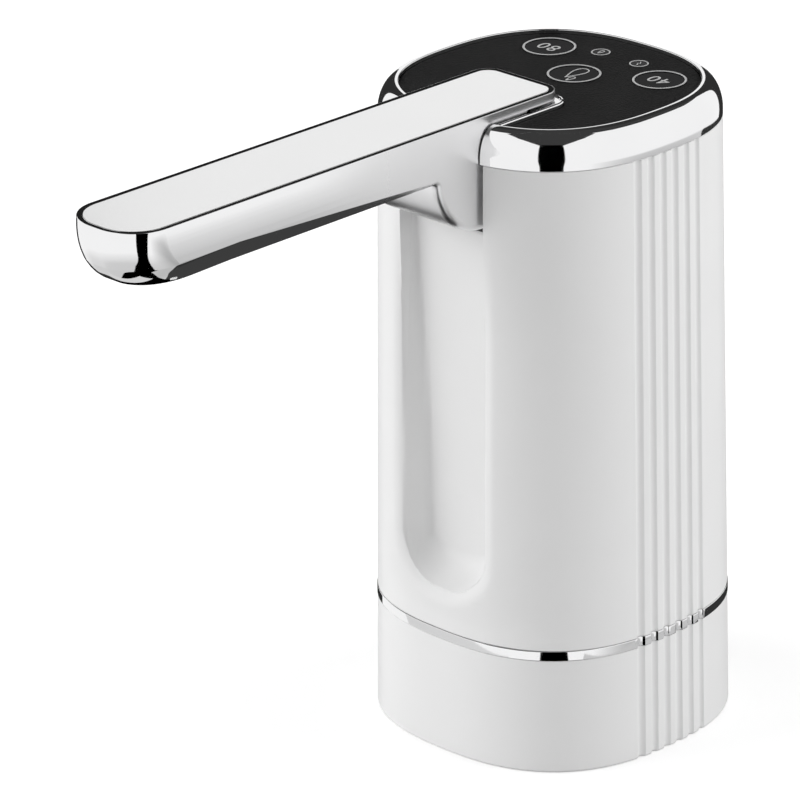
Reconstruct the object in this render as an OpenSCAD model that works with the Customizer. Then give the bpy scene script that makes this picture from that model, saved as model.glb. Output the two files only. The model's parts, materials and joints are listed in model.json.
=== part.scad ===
// Electric pump for a five-gallon water bottle, with a spout that folds down into its body.
// Origin at the mouth of the neck socket, on the body's axis. The spout points along -Y.

/* [Body] */
// Width of the body at its foot
body_w = 70; // [69:0.5:76]
// Width of the body at the seam under the rim
top_w = 66.2; // [65:0.2:69]
// Height of the seam under the rim
seam_h = 132.2; // [130:0.2:140]
// Exponent of the rounded-square outline
squareness = 2.5; // [2.4:0.05:2.8]
// Thickness of the moulded walls
wall = 2.2; // [1.8:0.1:2.4]
// Gap between fixed pieces that slip together
slip = 0.12; // [0.08:0.01:0.15]

/* [Flutes] */
// Number of flutes on each fluted side
flute_count = 6; // [4:1:6]
// Distance between flutes at the foot
flute_pitch = 3.7; // [3.2:0.1:4]
// Radius of a flute
flute_r = 1.1; // [0.9:0.05:1.4]
// Depth of a flute
flute_depth = 0.65; // [0.4:0.05:0.8]

/* [Collar] */
// Height of the collar below the chrome band
collar_h = 25.4; // [24.4:0.2:28]
// Height of the chrome band
band_h = 2.2; // [1.6:0.1:3]
// How far the chrome band stands proud
band_proud = 0.1; // [0:0.05:0.3]
// Distance from the body's face to the bore that takes the bottle neck
neck_in = 7.25; // [7:0.05:7.75]
// Depth of the neck socket
neck_depth = 14; // [12:0.5:15]
// Thickness of the silicone liner
liner_t = 2.2; // [1.8:0.1:2.4]
// Thickness of the collar's ceiling
ceiling_t = 2.4; // [2:0.1:3]
// Height of the tongue that enters the upper shell
tongue_h = 5.6; // [4:0.2:7]
// Diameter of the hose spigot
spigot_d = 8; // [6:0.2:9]
// Length of the hose spigot
spigot_l = 6; // [5:0.5:6]

/* [Rim] */
// Height of the plated rim above the seam
rim_h = 7.7; // [7:0.1:9]
// Width of the rim, from the body's face to the panel opening
rim_w = 4.1; // [3.6:0.1:4.6]
// Straight height of the rim before it rounds over
rim_straight = 1.2; // [0.8:0.1:2]
// Depth of the panel below the top of the rim
panel_drop = 0.95; // [0.6:0.05:1.2]
// Thickness of the control panel
panel_t = 2; // [1.6:0.1:2.4]

/* [Spout] */
// Width of the spout
arm_w = 22; // [20:0.1:22.4]
// Length of the spout from its pivot to its tip
arm_l = 96.5; // [90:0.5:99]
// Thickness of the spout at its pivot
arm_t = 10.4; // [10.2:0.1:11]
// How much thicker the spout grows towards its tip
arm_fall = 2.4; // [0:0.1:2.6]
// Height of the spout's flat top above its pivot
arm_rise = 9.8; // [9.6:0.05:10]
// Length of the tail behind the pivot
tail_l = 22.7; // [20:0.1:24]
// Thickness of the tail
tail_t = 2; // [1.8:0.1:2.2]
// Corner radius of the tail, seen from above
tail_r = 4.2; // [3:0.1:5]
// Radius of the hinge barrel
barrel_r = 14.4; // [14:0.1:14.8]
// Rounding of the barrel's edges
barrel_edge = 1.6; // [1:0.1:2.4]
// Distance of the pivot behind the front face at the seam
pivot_in = 3.1; // [2.9:0.1:3.5]
// Length over which the nose curves up to the tip
nose_l = 7.5; // [6:0.5:8]
// Corner radius of the tip, seen from above
tip_r = 9.6; // [9:0.2:10.4]
// Height of the bevel on the lower edges at the tip
edge_h = 4.4; // [2:0.1:4.8]
// Thickness of the plate let into the spout's top
cover_t = 1.2; // [0.9:0.1:1.3]
// Width of the rim round that plate
cover_rim = 0.8; // [0.6:0.1:1.2]
// Outside diameter of the tube in the spout
tube_d = 5.8; // [5:0.1:6]
// Room around the folded spout in its groove
fold_gap = 0.5; // [0.5:0.05:0.9]
// Room around the barrel in its seat
seat_gap = 0.5; // [0.4:0.05:0.7]
// Thickness of the plated seat
seat_t = 1.2; // [1:0.1:1.4]
// Diameter of the two hinge pins
pin_d = 2.4; // [2:0.1:2.4]

/* [Keys] */
// Diameter of the three keys
key_d = 11.4; // [10:0.1:12]
// Sliding gap round a key
key_gap = 0.1; // [0.08:0.01:0.15]
// Travel of a key
key_travel = 0.5; // [0.3:0.05:0.6]
// Distance of the two time keys from the panel's sides
time_key_side = 13.4; // [13:0.1:14.4]
// Distance of the two time keys from the panel's back edge
time_key_back = 12.8; // [12.4:0.1:14]
// Distance of the pour key from the panel's back edge
pour_key_back = 21.8; // [21.4:0.1:22.6]
// Diameter of the two indicator lenses
lamp_d = 4.1; // [3.4:0.1:4.4]
// Distance of the lenses from the middle
lamp_x = 5.4; // [5.2:0.1:6]
// Distance of the lenses from the panel's back edge
lamp_back = 8; // [7.6:0.1:8.6]

/* [Works] */
// Number of teeth on each pump gear
gear_teeth = 10; // [8:1:12]
// Distance between the two gear axes
gear_centres = 10; // [9:0.2:10.4]
// Thickness of the pump gears
gear_t = 8; // [6:0.5:9]
// Diameter of the motor shaft and of the idler pin
shaft_d = 2; // [1.8:0.1:2.4]
// Diameter of the motor
motor_d = 24.4; // [22:0.2:24.4]
// Length of the motor
motor_l = 31; // [28:0.5:34]
// Diameter of the battery cell
cell_d = 18.4; // [17.6:0.1:18.6]
// Length of the battery cell
cell_l = 65; // [60:0.5:66]
// Height of the charging socket
port_h = 44; // [42:0.5:48]

/* [Hidden] */

// Heights of the main seams
shell_z = collar_h + band_h;
rim_z = seam_h + rim_h;
panel_z = rim_z - panel_drop;
panel_under = panel_z - panel_t;
panel_half = top_w / 2 - rim_w;

// Outline of the body
outline_n = 96;
rim_rings = 7;
ledge = 1.8;
eps = 0.01;
draft = (top_w - body_w) / 2 / seam_h;

// Hinge and groove
pivot_out = top_w / 2 - pivot_in;
pivot = [0, -pivot_out, seam_h];
slot_w = arm_w + 2 * fold_gap;
seat_r = barrel_r + seat_gap;
housing_r = seat_r + seat_t + slip;
housing_t = 1.8;
cheek_t = 2.1;
pin_run = 0.05;
pin_hold = 0.02;
pin_in = 4.2;
seat_front = arm_t - arm_rise + fold_gap + 0.3;
lip_top = arm_rise - tail_t - 0.35;
lip_t = 1;
lip_w = 1;
lip_end = tail_l + 0.9;
lip_front = pivot_out - face_x(panel_half, slot_w / 2 + lip_w) + slip;
lip_r = 4.4;
port_angle = -45;
port_r = 2.2;
port_bore = 1.4;
port_hole = 3.3;
port_step = 1.5;
port_stem = 5.5;

// The barrel and the tail stand a hair behind the blade's flanks, and their tops are trimmed together
barrel_w = arm_w - 0.1;
top_trim = 1;

// Water way in the spout
tube_r = tube_d / 2;
tube_bore = tube_r - 1;
tube_rise = 4;
pocket_wall = 1.5;
pocket_front = barrel_r + 1.8;
pocket_end = arm_l - 12;
nozzle_y = arm_l - 18;
nozzle_r = 3.6;
nozzle_out = 0.25;
nozzle_under = arm_rise - arm_t - arm_fall * nozzle_y / arm_l;
chamber_r = 4.2;
chamber_w = 8;
socket_in = barrel_r - 2;

// Keys, panel and board
key_flange = 0.7;
key_flange_t = 0.6;
key_clear = 0.3;
key_proud = 0.1;
switch_t = 1.5;
switch_w = 4.5;
plunger_t = 0.4;
plunger_r = 1.2;
board_t = 1.6;
board_gap = key_travel + 0.4;
key_under = panel_under - key_clear - key_flange_t;
board_z = key_under - board_gap - plunger_t - switch_t - board_t;
board_half = panel_half - ledge - 1.2;
board_front = -pivot_out + housing_r + housing_t + 1.4;
time_key = panel_half * [1, 1] - [time_key_side, time_key_back];
lamp = [lamp_x, panel_half - lamp_back];
key_places = [[-time_key[0], time_key[1]], time_key, [0, panel_half - pour_key_back]];
lamp_places = [[-lamp[0], lamp[1]], lamp];
post_side = 8.5;
post_y = 2;
post_back = 7;
post_places = [[post_side - panel_half, post_y], [panel_half - post_side, post_y], [0, panel_half - post_back]];
post_r = 1.9;
post_pilot = 0.9;
tap_screw_head = 1.7;
tap_screw_head_t = 1.2;
tap_screw_bite = 2.2;

// Collar and its screws
ceiling_drop = 1;
ceiling_z = collar_h - ceiling_drop;
neck_r = body_w / 2 - neck_in;
sleeve_r = neck_r + liner_t + slip;
sleeve_t = 1.3;
stop_t = 2;
stop_in = 4.5;
tongue_half = (body_w / 2 + draft * (shell_z + tongue_h)) - wall - slip;
tongue_t = 1.6;
screw_in = 1.82;
screw_diag = body_w / 2 - screw_in;
screw_places = [for (a = [45 : 90 : 315]) screw_diag * [cos(a), sin(a)]];
screw_r = 1.1;
screw_head_r = 1.9;
screw_head_t = 1.6;
screw_seat = 14;
screw_top = shell_z + 9;
column_r = 2.7;
column_z = 6;
boss_top = shell_z + 12;

// Pump
mesh_x = gear_centres / 2 + 0.2;
drive = [mesh_x, gear_centres / 2];
idle = [mesh_x, -gear_centres / 2];
shaft_r = shaft_d / 2;
shaft_run = 0.06;
gear_gap = 0.3;
pressure_angle = 28;
backlash = 0.2;
pitch_r = gear_centres / 2;
gear_tip = pitch_r * (1 + 1.8 / gear_teeth);
gear_root = 2 * pitch_r - gear_tip - gear_gap;
gear_base = pitch_r * cos(pressure_angle);
flank_steps = 5;
chamber_gap = 0.3;
pump_wall = 2.8;
pump_r = gear_tip + chamber_gap + pump_wall;
cover_z = ceiling_z;
pump_cover_t = 3;
pump_z = cover_z + pump_cover_t;
gear_z = pump_z + chamber_gap;
pump_top = gear_z + gear_t + chamber_gap + 6;
port_pocket = 2.5;
outlet = [mesh_x + pump_r + 6.2, -1];
outlet_z = gear_z + gear_t / 2;
outlet_block = 4.2;
outlet_top = outlet_z + 5;
nipple_l = 9;
spigot_r = spigot_d / 2;
spigot_bore = 2;
spigot_flange = spigot_r + 2.4;
spigot_flange_t = 1;
inlet_r = spigot_flange + 2;
pump_ears = [[mesh_x + pump_r + 0.4, pitch_r + 6], [mesh_x - pump_r - 0.4, -pitch_r - 4.5]];
ear_r = 3.2;

// Motor, cell and frame
motor_r = motor_d / 2;
motor_z = pump_top;
cell_r = cell_d / 2;
cell_y = 4;
cell_lift = 19.6;
cell_z = ceiling_z + cell_lift;
frame_t = 1.5;
frame_foot = 2;
frame_play = 1;
frame_half = tongue_half - tongue_t - frame_play;
foot_x = -9.6;
foot_y = 16.5;
fit_gap = 0.2;
cell_at = [mesh_x - motor_r - cell_r - 2 * fit_gap - frame_t, cell_y];
saddle_z = motor_z + motor_l * 0.45;
saddle_h = 9;
wall_y = 20.5;
wall_half = 9;
port_w = 8.9;
port_t = 3.2;
port_shell = 0.35;
port_inset = 0.8;
port_play = 0.35;
charge_board_half = 7.5;
charge_board_h = 18;
foot_screw_side = 5.6;
foot_screw_back = 8.1;
foot_screws = [[foot_screw_side - frame_half, -12], [-13, frame_half - foot_screw_back]];

// Hose from the pump to the hinge, through points chosen by hand between its two ends
hose_r = 3.2;
hose_bore = 2.45;
hose_sides = 12;
hose_steps = 3;
hose_start = [outlet[0], outlet[1], outlet_top + 0.4];
hose_dir = [0, cos(port_angle), sin(port_angle)];
hose_end = pivot + hose_dir * (housing_r + housing_t + port_step + 0.5);
hose_route = [
    hose_start,
    hose_start + [0, 0, 12],
    hose_start + [0, 0, 36],
    [17.5, -1.5, 88],
    [9, -2.5, 100],
    hose_end + hose_dir * 13 + [1.2, 0.6, -0.4],
    hose_end + hose_dir * 7,
    hose_end
];

// Outlines and lofts

function half_at(z) = body_w / 2 + draft * z;

function squircle_power(v) = sign(v) * pow(abs(v), 2 / squareness);

function squircle(half) = [
    for (i = [0 : outline_n - 1])
        let (a = 360 * i / outline_n)
            half * [squircle_power(cos(a)), squircle_power(sin(a))]
];

function face_x(half, y) = half * pow(1 - pow(abs(y) / half, squareness), 1 / squareness);

// Solid through a stack of outlines, each a list of points that runs anticlockwise seen from above
module loft(outlines) {
    n = len(outlines[0]);
    last = len(outlines) - 1;
    sides = [
        for (j = [0 : last - 1], i = [0 : n - 1])
            let (k = (i + 1) % n, low = j * n, high = low + n)
                each [[low + i, high + i, high + k], [low + i, high + k, low + k]]
    ];
    bottom = [for (i = [0 : n - 1]) i];
    top = [for (i = [n - 1 : -1 : 0]) last * n + i];
    polyhedron([for (outline = outlines) each outline], concat([bottom], sides, [top]));
}

function lifted(outline, z) = [for (p = outline) [p[0], p[1], z]];

// Solid through a stack of rounded squares, each given as [half width, height]
module squircle_loft(rings) {
    loft([for (ring = rings) lifted(squircle(ring[0]), ring[1])]);
}

module squircle_prism(half, z, height) {
    translate([0, 0, z])
        linear_extrude(height)
            polygon(squircle(half));
}

// Fluted outline of the body, at a share of its size at the foot
module body_outline(share) {
    half = body_w / 2 * share;
    difference() {
        polygon(squircle(half));
        for (side = [0, 180], i = [0 : flute_count - 1]) {
            y = (i - (flute_count - 1) / 2) * flute_pitch * share;
            rotate(side)
                translate([face_x(half, y) + (flute_r - flute_depth) * share, y])
                    circle(flute_r * share, $fn = 20);
        }
    }
}

module body_taper(z, top) {
    translate([0, 0, z])
        linear_extrude(top - z, scale = half_at(top) / half_at(z))
            body_outline(half_at(z) * 2 / body_w);
}

// Rectangle with rounded corners at one end, from y = 0 to y = length
module tongue_plate(width, length, r) {
    translate([-width / 2, 0])
        square([width, length - r]);
    translate([-width / 2 + r, 0])
        square([width - 2 * r, length]);
    for (side = [-1, 1])
        translate([side * (width / 2 - r), length - r])
            circle(r, $fn = 48);
}

// Spout

// Place of the spout's tip at a share t of its thickness above the underside
function nose_y(t) = -arm_l + nose_l * (1 - sqrt(1 - pow(1 - t, 2)));

// Bevel of a lower edge, of height h, at that share
function edge_in(t, h) = bevel * max(h - t * arm_t, 0);

arm_levels = [0, 0.03, 0.09, 0.17, 0.28, edge_h / arm_t, 0.58, 0.78, 1];
arc_steps = 9;
root_edge = 0.6;
bevel = 0.6;
tip_flat = 0.4;
tip_corner = min(tip_r, (arm_w - tip_flat) / 2);

function polar(r, a) = r * [cos(a), sin(a)];

// Arc of an oval whose half axes are h
function oval(centre, h, from, to) = [
    for (i = [0 : arc_steps])
        let (p = polar(1, from + (to - from) * i / arc_steps))
            centre + [h[0] * p[0], h[1] * p[1]]
];

// Outline of the blade at a share t of its thickness, c larger all round
function blade_outline(t, c) =
    let (
        root_x = arm_w / 2 + c - edge_in(t, root_edge),
        tip_x = arm_w / 2 + c - edge_in(t, edge_h),
        corner_x = arm_w / 2 - tip_corner,
        corner_y = -arm_l + tip_corner,
        corner = [tip_x - corner_x, corner_y - nose_y(t) + c]
    ) concat(
        [[-root_x, 0]],
        oval([-corner_x, corner_y], corner, 180, 270),
        oval([corner_x, corner_y], corner, 270, 360),
        [[root_x, 0]]
    );

// The same outline at its height on the blade, whose underside falls away towards the tip
function blade_ring(t, c) = [
    for (p = blade_outline(t, c))
        [p[0], p[1], arm_rise - (arm_t - arm_fall * p[1] / arm_l) * (1 - t) + c * (2 * t - 1)]
];

// Tapering blade of the spout, c larger all round, with its pivot at the origin
module arm_blade(c, over) {
    loft(concat(
        [for (t = arm_levels) blade_ring(t, c)],
        [lifted(blade_outline(1, c), arm_rise + c + over)]
    ));
}

module barrel_along_x(r, width) {
    rotate([0, 90, 0])
        cylinder(width, r = r, center = true, $fn = 96);
}

// Hinge barrel with rounded edges
module spout_barrel() {
    rotate([0, 90, 0])
        rotate_extrude($fn = 96) {
            translate([0, -barrel_w / 2])
                square([barrel_r - barrel_edge, barrel_w]);
            translate([0, -barrel_w / 2 + barrel_edge])
                square([barrel_r, barrel_w - 2 * barrel_edge]);
            for (side = [-1, 1])
                translate([barrel_r - barrel_edge, side * (barrel_w / 2 - barrel_edge)])
                    circle(barrel_edge, $fn = 24);
        }
}

// Outline of the plate in the spout's top, c larger all round
module cover_outline(c) {
    half = arm_w / 2 - cover_rim + c;
    tip = tip_corner - cover_rim + c;
    tongue_plate(2 * half, tail_l - cover_rim + c, tail_r - cover_rim + c);
    mirror([0, 1])
        tongue_plate(2 * half, arm_l - cover_rim + c, tip);
}

module spout_body() {
    color("silver")
        translate(pivot)
            difference() {
                union() {
                    spout_barrel();
                    arm_blade(0, top_trim);
                    translate([0, 0, arm_rise - tail_t])
                        linear_extrude(tail_t + top_trim)
                            tongue_plate(barrel_w, tail_l, tail_r);
                }
                translate([-arm_w, -2 * arm_l, arm_rise])
                    cube([2 * arm_w, 4 * arm_l, barrel_r]);
                translate([0, 0, arm_rise - cover_t])
                    linear_extrude(cover_t + 1)
                        cover_outline(slip);
                translate([-arm_w / 2 + pocket_wall, -pocket_end, arm_rise - arm_t + pocket_wall])
                    cube([arm_w - 2 * pocket_wall, pocket_end - pocket_front, arm_t]);
                spout_water_way();
                for (side = [-1, 1])
                    translate([side * arm_w / 2, 0, 0])
                        barrel_along_x(pin_d / 2 + pin_run, 2 * pin_in + 0.6);
            }
}

// Port, chamber and tube socket inside the barrel, and the outlet hole under the tip
module spout_water_way() {
    barrel_along_x(chamber_r, chamber_w);
    rotate([port_angle - 90, 0, 0])
        cylinder(barrel_r + 1, r = tube_bore, $fn = 32);
    translate([0, 0, tube_rise])
        rotate([90, 0, 0])
            cylinder(pocket_front + 1, r = tube_bore, $fn = 32);
    translate([0, -socket_in, tube_rise])
        rotate([90, 0, 0])
            cylinder(pocket_front - socket_in + 1, r = tube_r + slip, $fn = 48);
    translate([0, -nozzle_y, nozzle_under - 1])
        cylinder(arm_t / 2, r = nozzle_r + slip, $fn = 48);
}

module spout_cover() {
    color("gainsboro")
        translate(pivot + [0, 0, arm_rise - cover_t])
            linear_extrude(cover_t)
                cover_outline(0);
}

module spout_tube() {
    color("ivory")
        translate(pivot + [0, -socket_in - slip, tube_rise])
            rotate([90, 0, 0])
                difference() {
                    cylinder(nozzle_y - nozzle_r + 1.6 - socket_in, r = tube_r, $fn = 48);
                    translate([0, 0, -1])
                        cylinder(arm_l, r = tube_bore, $fn = 48);
                }
}

module spout_nozzle() {
    low = nozzle_under - nozzle_out;
    top = tube_rise + tube_r + 1.2;
    color("dimgray")
        translate(pivot + [0, -nozzle_y, 0])
            difference() {
                translate([0, 0, low])
                    cylinder(top - low, r = nozzle_r, $fn = 48);
                translate([0, 0, low - 1])
                    cylinder(tube_rise - low + 1, r = tube_bore, $fn = 32);
                translate([0, 0, tube_rise])
                    rotate([-90, 0, 0])
                        cylinder(nozzle_r + 1, r = tube_bore, $fn = 32);
                translate([0, nozzle_r - 1.8, tube_rise])
                    rotate([-90, 0, 0])
                        cylinder(nozzle_r, r = tube_r + slip, $fn = 48);
            }
}

// Hinge seat

// Outline of the lip round the tail, c larger all round
module lip_outline(c) {
    translate([0, lip_front - c])
        tongue_plate(slot_w + 2 * lip_w + 2 * c, lip_end - lip_front + 2 * c, lip_r + c);
}

module hinge_seat() {
    color("silver")
        translate(pivot)
            difference() {
                union() {
                    difference() {
                        barrel_along_x(seat_r + seat_t, slot_w - 2 * slip);
                        translate([-arm_w, -2 * barrel_r, -2 * barrel_r])
                            cube([2 * arm_w, 2 * barrel_r + seat_front, 4 * barrel_r]);
                        translate([-arm_w, -2 * barrel_r, lip_top - lip_t / 2])
                            cube([2 * arm_w, 4 * barrel_r, 2 * barrel_r]);
                    }
                    translate([0, 0, lip_top - lip_t])
                        linear_extrude(lip_t)
                            lip_outline(0);
                }
                barrel_along_x(seat_r, slot_w);
                rotate([port_angle - 90, 0, 0])
                    cylinder(2 * barrel_r, r = port_hole + slip, $fn = 48);
            }
}

module hinge_pins() {
    color("lightgray")
        for (side = [-1, 1])
            translate(pivot + [side * (slot_w / 2 + cheek_t - 0.2), 0, 0])
                rotate([0, -90 * side, 0])
                    cylinder(cheek_t - 0.2 + fold_gap + pin_in, r = pin_d / 2, $fn = 32);
}

// Nipple that brings the water through the seat
module water_port() {
    inner = seat_r + 0.1;
    outer = housing_r + housing_t + 0.05;
    color("dimgray")
        translate(pivot)
            rotate([port_angle - 90, 0, 0])
                difference() {
                    union() {
                        translate([0, 0, inner])
                            cylinder(outer - inner + 0.2, r = port_hole, $fn = 48);
                        translate([0, 0, outer])
                            cylinder(port_step - 0.2, r = port_hole + 1.2, $fn = 48);
                        translate([0, 0, outer])
                            cylinder(port_step + port_stem, r = port_r, $fn = 48);
                    }
                    cylinder(3 * barrel_r, r = port_bore, $fn = 32);
                }
}

// Shells

// Space of the folded spout, c larger all round
module groove_space(c) {
    translate(pivot)
        rotate([90, 0, 0])
            arm_blade(c, 0);
}

module housing_blank() {
    translate(pivot) {
        barrel_along_x(housing_r + housing_t, slot_w + 2 * cheek_t);
        translate([-slot_w / 2 - cheek_t, -housing_r, -housing_r])
            cube([slot_w + 2 * cheek_t, housing_r, housing_r]);
    }
}

module charge_slot(play) {
    reach = body_w;
    r = port_t / 2 + play;
    span = (port_w - port_t) / 2;
    translate([0, 0, port_h])
        rotate([-90, 0, 0])
            linear_extrude(reach) {
                square([2 * span, 2 * r], center = true);
                for (side = [-1, 1])
                    translate([side * span, 0])
                        circle(r, $fn = 32);
            }
}

module upper_shell() {
    color("white")
        difference() {
            union() {
                difference() {
                    body_taper(shell_z, seam_h);
                    squircle_loft([
                        [half_at(shell_z) - wall, shell_z - eps],
                        [half_at(seam_h) - wall, seam_h + eps]
                    ]);
                }
                intersection() {
                    squircle_loft([
                        [half_at(shell_z) - wall / 2, shell_z],
                        [half_at(seam_h) - wall / 2, seam_h]
                    ]);
                    union() {
                        groove_space(fold_gap + wall - 0.2);
                        housing_blank();
                        for (p = screw_places)
                            translate([p[0], p[1], shell_z])
                                cylinder(boss_top - shell_z, r = column_r, $fn = 32);
                    }
                }
            }
            groove_space(fold_gap);
            translate(pivot) {
                barrel_along_x(housing_r, slot_w);
                barrel_along_x(pin_d / 2 + pin_hold, slot_w + 2 * cheek_t - 0.2);
                rotate([port_angle - 90, 0, 0])
                    cylinder(2 * barrel_r, r = port_hole + slip, $fn = 48);
            }
            charge_slot(port_play);
            for (p = screw_places)
                translate([p[0], p[1], shell_z - 1])
                    cylinder(screw_top - shell_z + 2, r = screw_r - 0.1 + slip, $fn = 24);
        }
}

module base_collar() {
    color("white")
        difference() {
            union() {
                difference() {
                    body_taper(0, collar_h);
                    squircle_loft([
                        [half_at(0) - wall, -eps],
                        [half_at(collar_h) - wall, collar_h + eps]
                    ]);
                }
                intersection() {
                    squircle_loft([
                        [half_at(0) - wall / 2, 0],
                        [half_at(collar_h) - wall / 2, collar_h]
                    ]);
                    collar_inside();
                }
                difference() {
                    squircle_prism(tongue_half, ceiling_z - 1, shell_z + tongue_h - ceiling_z + 1);
                    squircle_prism(tongue_half - tongue_t, ceiling_z - 2, shell_z + tongue_h - ceiling_z + 3);
                    for (p = screw_places)
                        translate([p[0], p[1], collar_h])
                            cylinder(band_h + 2 * tongue_h, r = column_r + slip, $fn = 32);
                }
            }
            translate([0, 0, -1])
                cylinder(neck_depth + stop_t + 1, r = sleeve_r, $fn = 128);
            translate([0, 0, -1])
                cylinder(ceiling_z - ceiling_t + 1, r = sleeve_r - stop_in, $fn = 128);
            cylinder(collar_h + 1, r = spigot_r + 1 + slip, $fn = 48);
            for (p = screw_places)
                translate([p[0], p[1], -1]) {
                    cylinder(collar_h + 2, r = screw_r + slip, $fn = 24);
                    cylinder(screw_seat + 1, r = screw_head_r + slip, $fn = 24);
                }
            for (p = concat(pump_ears, foot_screws))
                translate([p[0], p[1], ceiling_z - ceiling_t - 1])
                    cylinder(ceiling_t + 2, r = screw_r + slip, $fn = 24);
        }
}

// Sleeve, ceiling, screw columns and ribs inside the collar
module collar_inside() {
    ribs = 8;
    rib_t = 1.4;
    translate([0, 0, ceiling_z - ceiling_t])
        cylinder(ceiling_t, r = body_w, $fn = 64);
    translate([0, 0, 0.4])
        cylinder(ceiling_z - 0.4, r = sleeve_r + sleeve_t, $fn = 128);
    for (i = [0 : ribs - 1])
        rotate(i * 360 / ribs + 22.5)
            translate([0, -rib_t / 2, 2])
                cube([body_w, rib_t, ceiling_z - 2]);
    for (p = screw_places)
        translate([p[0], p[1], column_z])
            cylinder(ceiling_z - column_z, r = column_r, $fn = 32);
}

module chrome_band() {
    share = half_at(collar_h + band_h / 2) * 2 / body_w;
    grown = share * (1 + 2 * band_proud / body_w);
    color("silver")
        translate([0, 0, collar_h])
            linear_extrude(band_h)
                difference() {
                    body_outline(grown);
                    polygon(squircle(half_at(collar_h + band_h) - wall));
                }
}

// Half width and height of the rim's outside, from its foot over its round to its inner edge
rim_profile = concat(
    [[top_w / 2, seam_h], [top_w / 2, seam_h + rim_straight]],
    [for (i = [1 : rim_rings])
        let (a = 90 * i / rim_rings)
            [top_w / 2 - rim_w * (1 - cos(a)) * 0.96, seam_h + rim_straight + (rim_h - rim_straight) * sin(a)]]
);
spigot_half = top_w / 2 - wall - slip;
spigot_down = 3.5;
bezel_wall = 2.2;

module top_bezel() {
    color("silver")
        difference() {
            union() {
                difference() {
                    union() {
                        squircle_loft(rim_profile);
                        squircle_prism(spigot_half, seam_h - spigot_down, spigot_down + 1);
                    }
                    squircle_prism(panel_half, panel_under, panel_t + 2);
                    squircle_prism(panel_half - ledge, panel_under - 2 * ledge, 4 * ledge);
                    squircle_prism(spigot_half - bezel_wall, seam_h - spigot_down - 1,
                        panel_under - ledge - seam_h + spigot_down + 1);
                }
                intersection() {
                    squircle_loft(rim_profile);
                    translate([-slot_w / 2 - cheek_t, -body_w / 2, seam_h])
                        cube([slot_w + 2 * cheek_t, body_w / 2 - pivot_out + 3, panel_under - seam_h]);
                }
            }
            translate(pivot) {
                translate([-slot_w / 2, -body_w / 2, -2 * spigot_down])
                    cube([slot_w, body_w / 2 + housing_r + housing_t, rim_h + 4 * spigot_down]);
                translate([-slot_w / 2 - cheek_t - slip, -body_w / 2, -2 * spigot_down])
                    cube([slot_w + 2 * cheek_t + 2 * slip, body_w / 2 + housing_r + housing_t, 2 * spigot_down]);
                barrel_along_x(pin_d / 2 + pin_hold, slot_w + 2 * cheek_t - 0.2);
            }
        }
}

// Control panel

module touch_panel() {
    color([0.08, 0.08, 0.08])
        difference() {
            union() {
                squircle_prism(panel_half - slip, panel_under, panel_t);
                for (p = post_places)
                    translate([p[0], p[1], board_z + board_t])
                        cylinder(panel_under - board_z - board_t + 0.5, r = post_r, $fn = 32);
            }
            translate(pivot + [0, 0, lip_top - lip_t - panel_t])
                linear_extrude(3 * panel_t)
                    lip_outline(slip);
            translate(pivot + [-slot_w / 2 - lip_w, -body_w / 2, lip_top - lip_t - panel_t])
                cube([slot_w + 2 * lip_w, body_w / 2 + lip_r, 3 * panel_t]);
            for (p = key_places)
                translate([p[0], p[1], panel_under - 1])
                    cylinder(panel_t + 2, r = key_d / 2 + key_gap, $fn = 64);
            for (p = lamp_places)
                translate([p[0], p[1], panel_under - 1])
                    cylinder(panel_t + 2, r = lamp_d / 2 + slip, $fn = 48);
            for (p = post_places)
                translate([p[0], p[1], board_z])
                    cylinder(panel_under - board_z, r = post_pilot + slip, $fn = 24);
        }
}

// Key with a shallow dish and a flange that keeps it under the panel
module key_cap(place) {
    color([0.05, 0.05, 0.05])
        translate([place[0], place[1], key_under])
            difference() {
                union() {
                    cylinder(panel_z + key_proud - key_under, r = key_d / 2, $fn = 64);
                    cylinder(key_flange_t, r = key_d / 2 + key_flange, $fn = 64);
                }
                translate([0, 0, panel_z - key_under])
                    cylinder(1, r = key_d / 2 - 0.5, $fn = 64);
            }
}

module indicator_lenses() {
    color("dimgray")
        for (p = lamp_places)
            translate([p[0], p[1], 0]) {
                translate([0, 0, panel_under])
                    cylinder(panel_t, r = lamp_d / 2, $fn = 48);
                translate([0, 0, board_z + board_t])
                    cylinder(panel_under - board_z - board_t, r = lamp_d / 2 - 0.8, $fn = 32);
            }
}

module control_board() {
    color("darkgreen")
        difference() {
            intersection() {
                squircle_prism(board_half, board_z, board_t);
                translate([-body_w / 2, board_front, board_z - 1])
                    cube([body_w, body_w, board_t + 2]);
            }
            for (p = post_places)
                translate([p[0], p[1], board_z - 1])
                    cylinder(board_t + 2, r = post_pilot + slip, $fn = 24);
        }
}

module tact_switches() {
    color("lightgray")
        for (p = key_places)
            translate([p[0], p[1], board_z + board_t]) {
                translate([-switch_w / 2, -switch_w / 2, 0])
                    cube([switch_w, switch_w, switch_t]);
                cylinder(switch_t + plunger_t, r = plunger_r, $fn = 32);
            }
}

// Pan-head screw pointing along +Z, with the seat of its head at z = 0
module pan_screw(r, length, head_r, head_t) {
    cylinder(length, r = r, $fn = 24);
    difference() {
        translate([0, 0, -head_t])
            cylinder(head_t, r = head_r, $fn = 32);
        for (a = [0, 90])
            rotate(a)
                translate([-head_r * 0.6, -0.25, -head_t - 1])
                    cube([head_r * 1.2, 0.5, 1 + head_t * 0.4]);
    }
}

module board_screws() {
    color("lightgray")
        for (p = post_places)
            translate([p[0], p[1], board_z])
                pan_screw(post_pilot, board_t + tap_screw_bite, tap_screw_head, tap_screw_head_t);
}

module shell_screws() {
    color("lightgray")
        for (p = screw_places)
            translate([p[0], p[1], screw_seat])
                pan_screw(screw_r - 0.1, screw_top - screw_seat, screw_head_r, screw_head_t);
}

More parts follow.
